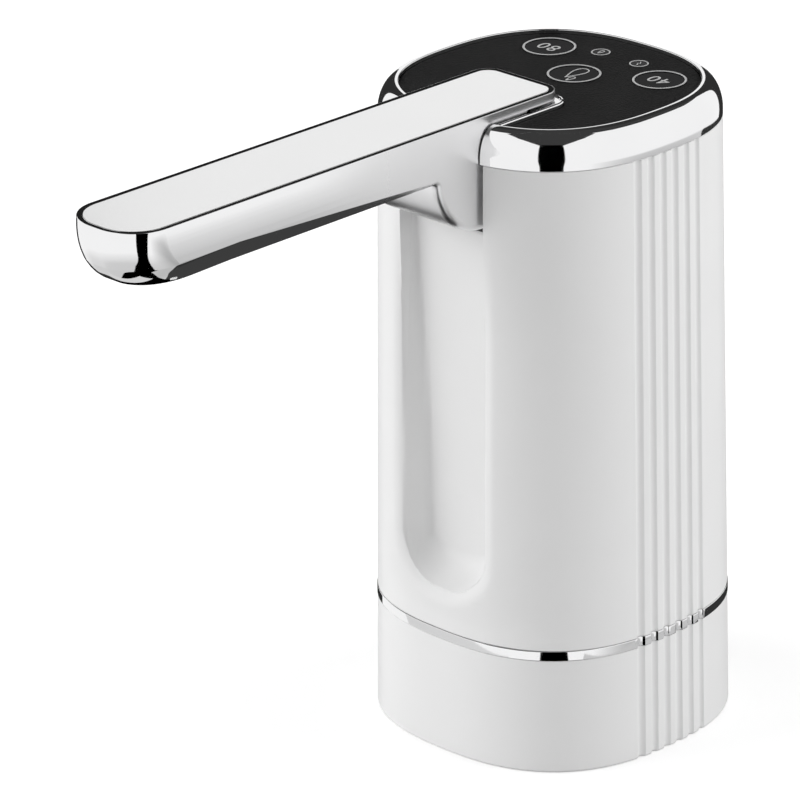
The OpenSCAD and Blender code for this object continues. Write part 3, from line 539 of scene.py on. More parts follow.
def satin_towards_root(material):
    """Lets a plated piece go from bright to satin along the body's Y."""
    tree, shader = nodes_of(material)
    parts = add(tree, "SeparateXYZ")
    limits = {"From Min": SATIN[0] * MM, "From Max": SATIN[1] * MM, "To Max": SATIN_ROUGHNESS}
    along = add(tree, "MapRange", limits, interpolation_type="SMOOTHSTEP")
    both = add(tree, "Math", operation="ADD")
    bright = shader.inputs["Roughness"].links[0].from_node
    locate(parts)
    link((parts, "Y", along, "Value"), (along, "Result", both, 0))
    link((bright, "Result", both, 1), (both, "Value", shader, "Roughness"))
    return material


PLATED = {"metallic": 1.0, "tone": 0.01, "spread": 0.015, "bump": 0.0}
chrome_plate = surface("chrome_plate", (0.84, 0.84, 0.84), 0.16, 1.0, tone=0.006, spread=0.03, bump=0.004)
chrome_spout = satin_towards_root(surface("chrome_spout", (0.88, 0.88, 0.885), 0.05, **PLATED))
# Near-black for the strip in the plate's gap, painted shade
plate_gap_shade_black = surface("plate_gap_shade_black", (0.01, 0.01, 0.01), 0.7, tone=0.2, bump=0.05, specular=0.05)
ink = surface("key_ink", (0.5, 0.5, 0.5), 0.4, tone=0.05)
steel = surface("steel", (0.62, 0.62, 0.62), 0.28, 1.0, tone=0.05, spread=0.1, bump=0.05)
LOOKS = {
    "shell_white": surface("white_shell", (0.80, 0.80, 0.80), 0.42, tone=0.006, bump=0.03),
    "chrome": surface("chrome", (0.88, 0.88, 0.885), 0.05, **PLATED),
    "panel_black": pebbled("panel_black", (0.008, 0.008, 0.008), 0.55, 0.6, 0.05),
    "key_black": surface("key_black", (0.004, 0.004, 0.0045), 0.2, tone=0.2, bump=0.01, specular=0.01),
    "lens_smoke": surface("lens_smoke", (0.008, 0.008, 0.008), 0.15, tone=0.1, specular=0.02),
    "silicone": surface("silicone", (0.72, 0.72, 0.70), 0.55, bump=0.05),
    "pump_grey": surface("pump_grey", (0.16, 0.16, 0.17), 0.5, tone=0.06, bump=0.08),
    "gear_white": surface("gear_white", (0.74, 0.74, 0.7), 0.45, bump=0.04),
    "steel": steel,
    "motor_can": surface("motor_can", (0.56, 0.56, 0.57), 0.34, 1.0, tone=0.06, spread=0.12, bump=0.08),
    "socket_metal": steel,
    "frame_grey": surface("frame_grey", (0.26, 0.27, 0.29), 0.6, tone=0.05, bump=0.1),
    "cell_wrap": surface("cell_wrap", (0.05, 0.16, 0.36), 0.25, tone=0.08, bump=0.03),
    "board_green": surface("board_green", (0.015, 0.12, 0.05), 0.35, tone=0.15, bump=0.05),
    "switch_metal": surface("switch_metal", (0.5, 0.5, 0.5), 0.3, 0.6, tone=0.05, bump=0.04),
}
for part in frame["record"]["subparts"]:
    solid = frame["nodes"][part["node"]]
    solid.data.materials.clear()
    solid.data.materials.append(LOOKS[part["material_slot"]])


# Collar and band

flute_angles = np.linspace(-FLUTE_ZONE, FLUTE_ZONE, FLUTE_STEPS + 1)
plain_angles = np.concatenate([
    flute_angles,
    fan(FLUTE_ZONE, pi - FLUTE_ZONE, FACE_STEPS),
    flute_angles[1:] + pi,
    fan(pi + FLUTE_ZONE, 2 * pi - FLUTE_ZONE, FACE_STEPS)[:-1],
])


def fluted_wall(name, rows, inner_rows, slot, replaces):
    """Ring with a fluted outside and a plain inside, from [height, inset] rows."""
    loops = [level(zip(*fluted(half_at(z) - inset, plain_angles)), z) for z, inset in rows]
    loops += [level(zip(*squircle(half_at(z) - inset, plain_angles)), z) for z, inset in inner_rows]
    return piece(name, *lofted(loops, along=True), "body", slot, replaces)


def edge_rows(start, end, r_start, r_end):
    """[height, inset] rows of a wall whose two edges are rounded."""
    foot = [(start + rise, inset) for rise, inset in rounding(r_start, WALL_EDGE_STEPS)]
    top = [(end - fall, inset) for fall, inset in rounding(r_end, WALL_EDGE_STEPS)]
    return foot + top[::-1]


def collar_wall():
    """White outer wall of the collar."""
    rows = edge_rows(0, COLLAR_TOP, FOOT_EDGE, SEAM_CHAMFER)
    inner_rows = [(COLLAR_TOP, WALL), (0.0, COLLAR_WALL)]
    return fluted_wall("collar_wall", rows, inner_rows, "shell_white", "base_collar")


def band_ring():
    """Plated band between the collar and the shell, a little proud of both."""
    foot, top = COLLAR_TOP + BAND_PLAY, SHELL_FOOT - BAND_PLAY
    rows = [(z, inset - BAND_PROUD) for z, inset in edge_rows(foot, top, BAND_EDGE, BAND_EDGE)]
    return fluted_wall("band_ring", rows, [(top, WALL), (foot, WALL)], "chrome", "chrome_band")


def collar_sleeve():
    """Sleeve for the bottle neck, with its stop and a ceiling round the spigot."""
    under = CEILING - CEILING_T
    profile = [(SLEEVE_R, SLEEVE_FOOT), (SLEEVE_R, NECK_STOP), (STOP_R, NECK_STOP), (STOP_R, under)]
    profile += [(SPIGOT_HOLE, under), (SPIGOT_HOLE, CEILING), (SLEEVE_OUT, CEILING)]
    profile += [(SLEEVE_OUT, SLEEVE_FOOT + SLEEVE_CHAMFER), (SLEEVE_OUT - SLEEVE_CHAMFER, SLEEVE_FOOT)]
    loops = [level(circle(r, SLEEVE_STEPS), z) for r, z in profile]
    return piece("collar_sleeve", *lofted(loops, along=True), "body", "shell_white")


def collar_ribs():
    """Ribs between the sleeve and the collar's wall."""
    blocks = []
    for i in range(RIBS):
        a = pi * (2 * i + 1) / RIBS
        out = np.array([cos(a), sin(a)])
        aside = RIB_T / 2 * np.array([-sin(a), cos(a)])
        near = (SLEEVE_OUT - RIB_IN_SLEEVE) * out
        far = np.hypot(*squircle(half_at(0) - COLLAR_WALL + RIB_IN_WALL, a)) * out
        blocks.append(prism([near - aside, near + aside, far + aside, far - aside], RIB_FOOT, CEILING))
    return piece("collar_ribs", *joined(blocks), "body", "shell_white")


collar_wall()
band_ring()
collar_sleeve()
collar_ribs()


# Upper shell

def lower_edge(along):
    """Height of the bevel on the spout's lower edges, greatest at the nose."""
    share = np.clip((along - THROAT_Y) / (NOSE_FROM - THROAT_Y), 0, 1)
    return ROOT_EDGE + (TIP_EDGE - ROOT_EDGE) * share


def blade_thickness(along):
    """Thickness of the spout at a place along its Y."""
    return ARM_T - ARM_FALL * along / ARM_L


def nose_recess(t):
    """How far the nose lies back at a share of its thickness, from its underside."""
    return NOSE_L * (1 - np.sqrt(1 - (1 - t) ** 2))


def blade_reach(x, along, t, gap):
    """Signed distance of a place from the blade's outline, at a share of its thickness."""
    half = ARM_HALF + gap - BEVEL * np.maximum(lower_edge(along) - t * blade_thickness(along), 0)
    wide = half - CORNER_X
    deep = TIP_CORNER + gap - nose_recess(t)
    across = np.maximum(np.abs(x) - CORNER_X, 0)
    down = CORNER_Y - along
    end = (np.hypot(across / wide, np.maximum(down, 0) / deep) - 1) * np.minimum(wide, deep)
    return np.where(down > 0, end, np.abs(x) - half)


def groove_floor(x, z, gap):
    """Y of the surface that the folded spout leaves, the gap away from it."""
    along = z - PIVOT[Z]
    clear_to, inside_to = np.zeros_like(x), np.ones_like(x)
    for _ in range(BISECTIONS):
        t = (clear_to + inside_to) / 2
        clear = blade_reach(x, along, t, gap) > 0
        clear_to = np.where(clear, t, clear_to)
        inside_to = np.where(clear, inside_to, t)
    rise = ARM_RISE - blade_thickness(along) * (1 - inside_to) + gap * (2 * inside_to - 1)
    return PIVOT[Y] - rise


def pocket_floor(x, z, backing):
    """Y of the round pocket behind the hinge barrel."""
    r = POCKET_R + backing
    depth = np.sqrt(np.maximum(r * r - (z - PIVOT[Z]) ** 2, 0))
    inside = (np.abs(x) <= SLOT_HALF + backing + TOUCH) & (np.abs(z - PIVOT[Z]) < r)
    return np.where(inside, PIVOT[Y] + depth, -np.inf)


def face_share(y, z):
    """Share of the folded blade's thickness that lies behind the body's face."""
    thick = blade_thickness(z - PIVOT[Z])
    return np.clip((PIVOT[Y] - y - ARM_RISE + thick + FOLD_GAP) / (thick + 2 * FOLD_GAP), 0, 1)


def groove_depth(t):
    """How far the groove's round end reaches below its straight sides."""
    return TIP_CORNER + FOLD_GAP - nose_recess(t)


def groove_half(z, t):
    """Half width of the groove at the body's face."""
    down = max(0.0, PIVOT[Z] + CORNER_Y - z) / groove_depth(t)
    return CORNER_X + (ARM_HALF + FOLD_GAP - CORNER_X) * sqrt(max(1 - down ** 2, 0))


def shell_rows():
    """Heights of the shell's rows, closer at the groove's end and the hinge pocket."""
    foot = SEAM - ARM_L
    tip = SEAM + CORNER_Y - groove_depth(face_share(-face_at(half_at(foot), 0), foot))
    turn = quarter(TURN_ROWS - 1)[::-1]
    pocket = PIVOT[Z] - POCKET_R * np.cos(np.radians(np.linspace(POCKET_FROM, 90, TURN_ROWS)))
    return np.concatenate([
        [SHELL_FOOT, SHELL_FOOT + SEAM_CHAMFER, SHELL_FOOT + FOOT_ROW],
        np.linspace(SHELL_FOOT + 2 * FOOT_ROW, tip - GROOVE_LIP - ROW_GAP / 2, PLAIN_ROWS),
        np.linspace(tip - GROOVE_LIP, tip, LIP_ROWS)[:-1],
        tip + TIP_CORNER * (1 - np.sin(turn)),
        np.linspace(tip + TIP_CORNER + ROW_GAP, pocket[0] - ROW_GAP, FLANK_ROWS),
        pocket[:-1],
        [SEAM - SEAM_CHAMFER, SEAM],
    ])


def front_places(t, z):
    """X of the front columns from the middle to the right, which follow the groove's edge."""
    edge = groove_half(z, t)
    lip = fan(edge, edge + GROOVE_LIP, LIP_STEPS)
    return np.concatenate([edge * np.array(INNER_STEPS), lip, fan(lip[-1], FRONT_SPAN, LAND_STEPS)])


def soft_lip(x, y, z):
    """How far the face falls back towards the groove's edge."""
    off = blade_reach(x, z - PIVOT[Z], face_share(y, z), FOLD_GAP)
    lip = np.clip(1 - off / GROOVE_LIP, 0, 1)
    start, end = LIP_FADE
    return LIP_DROP * np.clip((PIVOT[Z] - z - start) / (end - start), LIP_LEAST, 1) * lip ** 2


def shell_front(z, half, backing):
    """Places across one row of the shell's front, with the groove and the hinge pocket."""
    right = front_places(face_share(-face_at(half_at(z), 0), z), z)
    x = np.concatenate([-right[:0:-1], right])
    y = -face_at(half, x)
    height = np.full_like(x, z)
    if not backing:
        y = y + soft_lip(x, y, height)
    y = np.maximum(y, groove_floor(x, height, FOLD_GAP + backing))
    return x, np.maximum(y, pocket_floor(x, z, backing))


def shell_ring(z, inset, backing):
    """One row of the shell: its front with the groove, then its corners, flutes and back."""
    half = half_at(z) - inset
    x, y = shell_front(z, half, backing)
    corner = atan2(-face_at(half, FRONT_SPAN), FRONT_SPAN)
    theta = np.concatenate([
        fan(corner, -FLUTE_ZONE, CORNER_STEPS),
        flute_angles[1:],
        fan(FLUTE_ZONE, pi - FLUTE_ZONE, BACK_STEPS),
        flute_angles[1:] + pi,
        fan(pi + FLUTE_ZONE, pi - corner, CORNER_STEPS)[:-1],
    ])
    sides = squircle(half, theta) if backing else fluted(half, theta)
    return level(np.hstack([(x, y), sides]).T, z)


def upper_shell():
    """White upper housing, from its outside and its inside."""
    heights = shell_rows()
    rings = [shell_ring(z, SEAM_CHAMFER if z in (SHELL_FOOT, SEAM) else 0.0, 0.0) for z in heights]
    rings += [shell_ring(z, WALL, SHELL_BACKING) for z in reversed(heights)]
    return piece("shell", *lofted(rings, along=True), "body", "shell_white", "upper_shell", merge=False)


def stadium(span, r, middle):
    """Outline with two round ends, about a middle height."""
    right = arc_points((span, middle), r, -90, 90, SOCKET_STEPS)
    return right + arc_points((-span, middle), r, 90, 270, SOCKET_STEPS)


def socket_opening():
    """Closed cutter for the charging socket."""
    tall = half_size("charge_port", Z)
    outline = stadium(high("charge_port", X) - tall, tall + SOCKET_PLAY, middle_of("charge_port")[Z])
    points, faces = prism(outline, *SOCKET_CUT)
    return [(x, y, z) for x, z, y in points], [face[::-1] for face in faces]


cut_through(upper_shell(), *socket_opening())


# Plated rim

def rim_profile():
    """[inset, height] corners of the rim's section."""
    foot = SEAM + RIM_PLAY
    shoulder = SEAM + RIM_STRAIGHT
    under = PANEL_TOP - PANEL_T
    rows = [(SEAM_CHAMFER, foot), (0, foot + SEAM_CHAMFER), (0, shoulder)]
    for a in quarter(RIM_ROUND_STEPS)[1:]:
        rows.append(((RIM_W - RIM_LIP) * (1 - cos(a)), shoulder + (RIM_TOP - shoulder) * sin(a)))
    rows += [(RIM_W - inset, RIM_TOP - fall) for fall, inset in rounding(RIM_LIP, FINE_EDGE_STEPS)[1:]]
    rows += [(RIM_W, under), (RIM_W + RIM_LEDGE, under), (RIM_W + RIM_LEDGE, under - RIM_LEDGE)]
    rows += [(SKIRT_IN, under - RIM_LEDGE - SKIRT_DROP), (SKIRT_IN, foot)]
    return rows


def top_rim():
    """Rim round the panel, open where the spout passes."""
    curves = []
    for inset, z in rim_profile():
        half = TOP_HALF - inset
        start = atan2(-face_at(half, SLOT_HALF), SLOT_HALF)
        curves.append(level(zip(*squircle(half, np.linspace(start, pi - start, RIM_STEPS))), z))
    points, faces = lofted(curves, around=False, along=True)
    faces.append(tuple(range(0, len(points), RIM_STEPS)))
    faces.append(tuple(range(RIM_STEPS - 1, len(points), RIM_STEPS))[::-1])
    return piece("rim", points, faces, "body", "chrome", "top_bezel")


top_rim()


# Spout, whose side view is in rows: [y, z, edge, share of bevel, outward y, outward z]

def underside(y):
    """Height of the spout's underside, which falls away towards the tip."""
    return ARM_RISE - blade_thickness(y)


def tail_rows():
    """Side view of the tail, from its end to the barrel."""
    return [
        (TAIL_L, ARM_TOP, TAIL_CORNER, 0, 1, 0),
        (TAIL_L, TAIL_UNDER + TAIL_EDGE, TAIL_CORNER, 0, 1, 0),
        (TAIL_L - TAIL_EDGE, TAIL_UNDER, TAIL_CORNER - TAIL_EDGE, 0, 1, 0),
        (TAIL_L - TAIL_CORNER, TAIL_UNDER, TAIL_EDGE, 0, 0, -1),
        (BARREL_R * cos(BARREL_MEET), TAIL_UNDER, TAIL_EDGE, 0, 0, -1),
    ]


def barrel_rows():
    """Side view of the hinge barrel, from the tail round its underside to the throat."""
    rows = []
    for a in np.linspace(BARREL_MEET - BARREL_SKIP, THROAT_ANGLE, BARREL_STEPS + 1):
        c, s = cos(a), sin(a)
        rows.append((BARREL_R * c, BARREL_R * s, BARREL_EDGE, 0, c, s))
    return rows


def throat_rows():
    """Side view of the fillet between the barrel and the blade."""
    rows = []
    for i, a in enumerate(fan(THROAT_ANGLE + pi, pi / 2, THROAT_STEPS), start=1):
        c, s = cos(a), sin(a)
        share = i / THROAT_STEPS
        edge = BARREL_EDGE + (ROOT_EDGE - BARREL_EDGE) * share
        rows.append((THROAT_Y + THROAT_R * c, THROAT_Z + THROAT_R * s, edge, share, -c, -s))
    return rows


def blade_rows():
    """Side view of the blade's underside, from the throat to the nose."""
    places = [THROAT_Y + (NOSE_FROM - THROAT_Y) * s for s in fan(0, 1, BLADE_STEPS)]
    return [(y, underside(y), float(lower_edge(y)), 1, 0, -1) for y in places]


def edge_shape(r, bevelled):
    """[inset, rise] places of a lower edge from the underside up, between a rounding and a bevel."""
    shape = []
    for a, s in zip(quarter(EDGE_STEPS), EDGE_SHARES):
        swell = 4 * BEVEL_SWELL * r * s * (1 - s)
        inset = (1 - bevelled) * r * (1 - sin(a)) + bevelled * (r * BEVEL * (1 - s) - swell)
        rise = (1 - bevelled) * r * (1 - cos(a)) + bevelled * (r * s - BEVEL * swell)
        shape.append((inset, rise))
    return shape


def crowned(points):
    """Points whose flanks and nose lean in a little towards the top."""
    p = np.array(points, float)
    lean = np.clip((p[:, Z] - CROWN_FROM) / (ARM_RISE - CROWN_FROM), 0, 1) ** 2
    p[:, X] *= 1 - CROWN / ARM_HALF * lean
    p[:, Y] -= np.minimum(p[:, Y] - CORNER_Y, 0) * NOSE_LEAN / TIP_CORNER * lean
    return p


def mirrored(right):
    """Level curve from the right flank to the left, from its right half."""
    return right + [(-x, y, z) for x, y, z in reversed(right) if x > 0]


def tip_arc(inset, recess, z):
    """Level corner of the nose, from the flank at an inset to the middle at a recess."""
    shift = NOSE_SHIFT * max(recess - inset, 0)
    wide, deep = TIP_CORNER - inset, TIP_CORNER - recess + shift
    start = CORNER_Y + shift
    arc = [(CORNER_X + wide * cos(a), start - deep * sin(a), z) for a in quarter(TIP_STEPS)]
    return arc + [(0.0, start - deep, z)]


def nose_curve(inset, share, flank_steps):
    """Curve round the nose at a share of its thickness, which falls with the underside."""
    arc = tip_arc(inset, float(nose_recess(share)), 0)
    x, end, _ = arc[0]
    flank = [(x, NOSE_FROM + (end - NOSE_FROM) * i / flank_steps, 0) for i in range(flank_steps)]
    return [(x, y, ARM_TOP - (ARM_TOP - underside(y)) * (1 - share)) for x, y, _ in mirrored(flank + arc)]


def nose_grids():
    """Curves of the nose: those of its lower edge, then those of its flanks above."""
    thick = ARM_TOP - underside(NOSE_FROM)
    lower = [nose_curve(inset, rise / thick, NOSE_STEPS) for inset, rise in edge_shape(TIP_EDGE, 1)]
    upper = [nose_curve(0, share, 0) for share in (TIP_EDGE / thick, *NOSE_SHARES, 1)]
    return lower, upper


def plan_loop(inset, z):
    """Level outline of the spout's top seen from above, drawn in by an inset."""
    r = max(TAIL_CORNER - inset, LEAST_CORNER)
    corner = (ARM_HALF - inset - r, TAIL_L - inset - r)
    tail = arc_points(corner, r, 0, 90, EDGE_STEPS)
    return mirrored(tip_arc(inset, inset, z)[::-1] + level(tail, z))


def lower_sweep():
    """Curves across the spout below its top edge, from the tail to the nose."""
    sweep = []
    for y, z, edge, bevelled, out_y, out_z in tail_rows() + barrel_rows() + throat_rows() + blade_rows():
        half = [(ARM_HALF - inset, rise) for inset, rise in edge_shape(edge, bevelled)]
        across = half[::-1] + [(-x, rise) for x, rise in half]
        sweep.append([(x, y - out_y * rise, z - out_z * rise) for x, rise in across])
    return sweep


def top_edge():
    """Loops of the spout's top edge, over it and down to the seat of the plate."""
    profile = [(inset, ARM_RISE - fall) for inset, fall in rounding(RIM_EDGE, EDGE_STEPS)]
    profile += [(COVER_RIM, ARM_RISE - fall) for fall, _ in rounding(COVER_LIP, EDGE_STEPS)[::2]]
    profile.append((COVER_RIM, ARM_RISE - COVER_T))
    return [plan_loop(inset, z) for inset, z in profile]


def spout_skin():
    """Points and faces of the whole spout, with its flat flanks and the plate's seat."""
    sweep, rim = lower_sweep(), top_edge()
    lower, upper = nose_grids()
    right = [row[0] for row in sweep[:1] + sweep[3:]]
    right += lower[-1][1:NOSE_STEPS + 1]
    right += [row[0] for row in upper[1:]]
    left = [(-x, y, z) for x, y, z in right]
    blocks = [lofted(sweep, False), lofted(lower, False), lofted(upper, False), lofted(rim, True)]
    return joined(blocks + [whole(outline) for outline in (right, left, lower[0], rim[-1])])


def banded(obj):
    """Cuts the flat flanks into level bands, crowns the spout and sets it in its place."""
    bm = bmesh.new()
    bm.from_mesh(obj.data)
    for z in FLANK_LEVELS:
        flanks = [f for f in bm.faces if len(f.verts) > 4 and abs(f.normal.x) > FLANK_FACING]
        around = {e for f in flanks for e in f.edges} | {v for f in flanks for v in f.verts} | set(flanks)
        bmesh.ops.bisect_plane(bm, geom=list(around), plane_co=(0, 0, z * MM), plane_no=(0, 0, 1))
    bm.to_mesh(obj.data)
    bm.free()
    points = np.array([v.co for v in obj.data.vertices]) / MM
    for v, p in zip(obj.data.vertices, crowned(points) + PIVOT):
        v.co = p * MM
    return smooth(obj)


def nozzle_hole():
    """Closed cutter for the nozzle in the spout's underside."""
    r = half_size("spout_nozzle", X) + NOZZLE_PLAY
    outline = circle(r, SMALL_RING_STEPS, middle_of("spout_nozzle"))
    foot = low("spout_nozzle", Z)
    return prism(outline, foot + NOZZLE_CUT[0], foot + NOZZLE_CUT[1])


def spout_arm():
    """Plated spout with its hinge barrel."""
    arm = piece("spout", *spout_skin(), "spout", "chrome", "spout_body", chrome_spout)
    arm.modifiers.clear()
    return cut_through(banded(arm), *nozzle_hole())


def crowned_loops(profile):
    """Loops of the spout's plan, crowned and in place, and how many points one has."""
    loops = [plan_loop(inset, z) for inset, z in profile]
    return crowned([p for loop in loops for p in loop]) + PIVOT, len(loops[0])


def spout_plate():
    """Flat plate let into the spout's top."""
    edge = COVER_RIM + COVER_GAP
    profile = [(edge, ARM_RISE - COVER_T + COVER_PLAY)]
    for fall, inset in reversed(rounding(COVER_EDGE, FINE_EDGE_STEPS)):
        profile.append((edge + inset, ARM_RISE - fall))
    points, count = crowned_loops(profile)
    faces = ring_faces(len(profile), count) + caps(count, len(points))
    return piece("spout_plate", points, faces, "spout", "chrome", "spout_cover", chrome_plate)


def plate_gap_shade_strip():
    """Black strip in the gap round the plate, a little below its top, which paints the gap's shade."""
    foot, top = ARM_RISE - COVER_T + GAP_SHADE_PLAY, ARM_RISE - GAP_SHADE_DROP
    inner = COVER_RIM + COVER_GAP
    points, count = crowned_loops([(COVER_RIM, foot), (COVER_RIM, top), (inner, top), (inner, foot)])
    faces = ring_faces(len(points) // count, count, along=True)
    return piece("plate_gap_shade_strip", points, faces, "spout", "key_black", material=plate_gap_shade_black)


spout_arm()
spout_plate()
plate_gap_shade_strip()


# Marks on the keys and lamps, and the bead on the seat's lip

def wire(name, path, r, flat, closed, body, slot, material=None):
    """Fine bead along a level path, flattened by a share."""
    path = np.array(path, float)
    along = np.roll(path, -1, axis=0) - np.roll(path, 1, axis=0) if closed else np.gradient(path, axis=0)
    along /= np.linalg.norm(along, axis=1)[:, None]
    side = np.stack([-along[:, Y], along[:, X], 0 * along[:, X]], axis=1)
    points = []
    for p, s in zip(path, side):
        for x, z in circle(r, BEAD_SIDES):
            points.append(p + s * x + np.array([0, 0, flat * z]))
    faces = ring_faces(len(path), BEAD_SIDES, along=closed)
    if not closed:
        faces += caps(BEAD_SIDES, len(points))
    return piece(name, points, faces, body, slot, material=material)


def mark(name, at, outline, z, r, body, closed=True):
    """Printed line along an outline about a place on the panel."""
    path = [(at[0] + x, at[1] + y, z) for x, y in outline]
    return wire(name, path, r, MARK_FLAT, closed, body, "lens_smoke", ink)


def drop(size, steps):
    """Outline of a water drop, pointing along -Y."""
    turn = [2 * pi * i / steps for i in range(steps)]
    wide = DROP_WIDTH * size
    return [(wide * sin(a) * sin(a / 2) ** DROP_POINT, -size * cos(a)) for a in turn]


def digits(number):
    """Flat number on its key, which reads from the spout's side."""
    name, key = "digits_" + number, "button_" + number
    font = bpy.data.curves.new(name, "FONT")
    font.body = number
    font.size = DIGIT_SIZE * MM
    font.align_x = font.align_y = "CENTER"
    font.extrude = DIGIT_T * MM
    font.space_character = DIGIT_SPACE
    text = linked(name + "_font", font)
    mesh = made_up(text)
    x, y, _ = middle_of(key)
    place = Matrix.Translation(Vector((x, y, high(key, Z) - KEY_DISH)) * MM)
    mesh.transform(place @ Matrix.Rotation(pi, 4, "Z"))
    points = [tuple(c / MM for c in v.co) for v in mesh.vertices]
    faces = [tuple(p.vertices) for p in mesh.polygons]
    bpy.data.objects.remove(text)
    bpy.data.meshes.remove(mesh)
    return piece(name, points, faces, "key_" + number, "lens_smoke", material=ink)


def pour_marks():
    """Large and small drop on the pour key."""
    x, y, _ = middle_of("button_pour")
    z = high("button_pour", Z) - KEY_DISH
    for name, right, back, size, bead in POUR_DROPS:
        mark(name, (x + right, y + back), drop(size, DROP_STEPS), z, bead, "key_pour")


def lamp_marks(name, side, outline, closed):
    """Ring of one of the two lamps and the mark in it."""
    at = (side * LENS_X, LENS_Y)
    mark(name + "_ring", at, circle(LAMP_RING_R, SMALL_RING_STEPS), PANEL_TOP, LAMP_RING_BEAD, "body")
    mark(name + "_mark", at, outline, PANEL_TOP, LAMP_BEAD, "body", closed)


def lip_bead():
    """Bead on the lip of the hinge seat, round the tail of the spout."""
    half, end, corner = LIP_HALF - LIP_BEAD, LIP_END - LIP_BEAD, LIP_CORNER - LIP_BEAD
    front = -face_at(TOP_HALF - RIM_W, LIP_HALF) + LIP_START
    right = [(half, front)] + arc_points((half - corner, end - corner), corner, 0, 90, LIP_CORNER_STEPS)
    path = level(right + [(-x, y) for x, y in reversed(right)], LIP_TOP)
    return wire("lip_bead", path, LIP_BEAD, LIP_FLAT, False, "body", "chrome")


for key in KEYS:
    key_node = "button_" + key
    key_ring = circle(KEY_RING_R, RING_STEPS)
    mark(key_node + "_ring", middle_of(key_node), key_ring, high(key_node, Z), KEY_RING_BEAD, "key_" + key)
digits("80")
digits("40")
pour_marks()
lamp_marks("lamp_water", -1, drop(LAMP_DROP, LAMP_DROP_STEPS), True)
lamp_marks("lamp_charge", 1, LAMP_BOLT, False)
lip_bead()

# Smooth faces on the solids that stay in view
for solid in frame["nodes"].values():
    if not solid.hide_render:
        weld = solid.modifiers.new("weld", "WELD")
        weld.merge_threshold = WELD * MM
        split = solid.modifiers.new("split", "EDGE_SPLIT")
        split.split_angle = SHARP
        solid.data.shade_smooth()


# Camera
CAMERA_AT = Vector((759.02, -794.26, 521.74)) * MM
CAMERA_AIM = Vector((-23.77, -21.17, 68.23)) * MM
CAMERA_ROLL = radians(-0.917)
CAMERA_LENS = 255
CAMERA_SENSOR = 36
CAMERA_CLIP = (0.05, 50)


def place_camera():
    """Camera at the photograph's viewing angle."""
    data = bpy.data.cameras.new("camera")
    data.sensor_width = CAMERA_SENSOR
    data.lens = CAMERA_LENS
    data.clip_start, data.clip_end = CAMERA_CLIP
    camera = linked("camera", data)
    look = (CAMERA_AIM - CAMERA_AT).to_track_quat("-Z", "Y").to_matrix().to_4x4()
    camera.matrix_world = Matrix.Translation(CAMERA_AT) @ look @ Matrix.Rotation(CAMERA_ROLL, 4, "Z")
    bpy.context.scene.camera = camera


place_camera()


# Studio, in metres and watts, with angles in degrees
VIEW_AZIMUTH = 43.7
WHITE = (1, 1, 1, 1)
DISC_STEPS = 96
FLOOR_R = 6.0
FLOOR_GREY = 0.86
FLOOR_ROUGHNESS = 0.9
FLOOR_LIFT = {"From Min": 0.05, "From Max": 0.45, "To Min": 0.285, "To Max": 0.5}
AMBIENT = 0.53
SOFTBOXES = (  # name, azimuth, elevation, distance, size, power
    ("softbox_left", -45, 12, 1.0, (0.9, 1.1), 8.4),
    ("softbox_right", 135, 12, 1.0, (0.9, 1.1), 7.2),
    ("softbox_top", 40, 75, 1.2, (1.0, 1.0), 1.5),
)

# Cards that only the plating shows. Azimuths are from the camera
CARD_R = 3.0
CARD_STEPS = 24
SECTOR_STEPS = 12
OVERHEAD_GREY = 0.045
OVERHEAD = ((38, -13, 13), (46, -24, 24), (56, -44, 44), (66, -80, 80), (76, -180, 180), (90, -180, 180))
AWAY = ((32, 150, 210), (40, 130, 230), (50, 115, 245), (60, 100, 260), (70, 85, 275), (76, 80, 280))
BACK_GREY = 0.03
BACK_LEFT = ((-60, -170, -145), (60, -170, -145))
BACK_RIGHT = ((-60, 145, 170), (60, 145, 170))
GAP_R = 0.31
GAP_SHAPE = (  # height and half width
    (0.36, 0.064), (0.1, 0.066), (0.05, 0.061), (0.015, 0.057), (-0.03, 0.052), (-0.08, 0.062),
    (-0.14, 0.085), (-0.2, 0.12), (-0.3, 0.19), (-0.4, 0.24), (-0.9, 0.36),
)
FLAG_GREY = 0.05
FLAGS = (  # name, ends along X, Y, ends along Z
    ("flag_card", (-0.034, 0.034), -0.037, (0.030, 0.116)),
    ("low_flag_card", (0.004, 0.034), -0.062, (0.025, 0.068)),
)
BELOW_Z = -1.0
BELOW_R = 6.0
BELOW_RIGHT = ((0.0, 0.55), (0.2, 0.55), (0.4, 0.42), (0.5, 0.5), (0.545, 0.63), (0.63, 1.0))
BELOW_LEFT = ((0.0, 0.62), (0.15, 0.66), (0.19, 0.68), (0.24, 0.82), (0.33, 1.0), (0.5, 1.0))
BELOW_TURN = {"From Min": -1.0, "From Max": -0.6}
MIX_A, MIX_B, MIX_RESULT = 6, 7, 2  # colour sockets of a mix node
FOOT_Z = BELOW_Z + 0.08
FOOT_AT = np.array([0.03, -0.2])
FOOT_R = 0.36
FOOT_STEPS = 24
FOOT_LANE = ((0.6, 0.36), (1.2, 0.34), (3.0, 0.6))
SECTOR_Z = BELOW_Z + 0.06
SECTORS = (  # name, azimuths, radii
    ("back_sector_left", -180, -144, 0.7, 5.0),
    ("back_sector_right", 148, 175, 1.6, 5.0),
)
AWAY_Z = BELOW_Z + 0.05
AWAY_GREY = 0.035
AWAY_PLAN = ((-2.2, 0.45), (0.3, 0.45), (0.5, 0.75), (0.62, 1.1), (1.15, 2.2), (1.15, 3.2), (-2.2, 3.2))
BAND_CARD_Z = -0.02
BAND_FRONT = ((-0.135, -0.135), (0.02, -0.135), (0.02, -0.085), (-0.135, -0.085))
BAND_FRONT_GREY = 0.72
BAND_SIDE = ((0.085, -0.055), (0.135, -0.055), (0.135, 0.12), (0.085, 0.12))
BAND_SIDE_GREY = 0.6


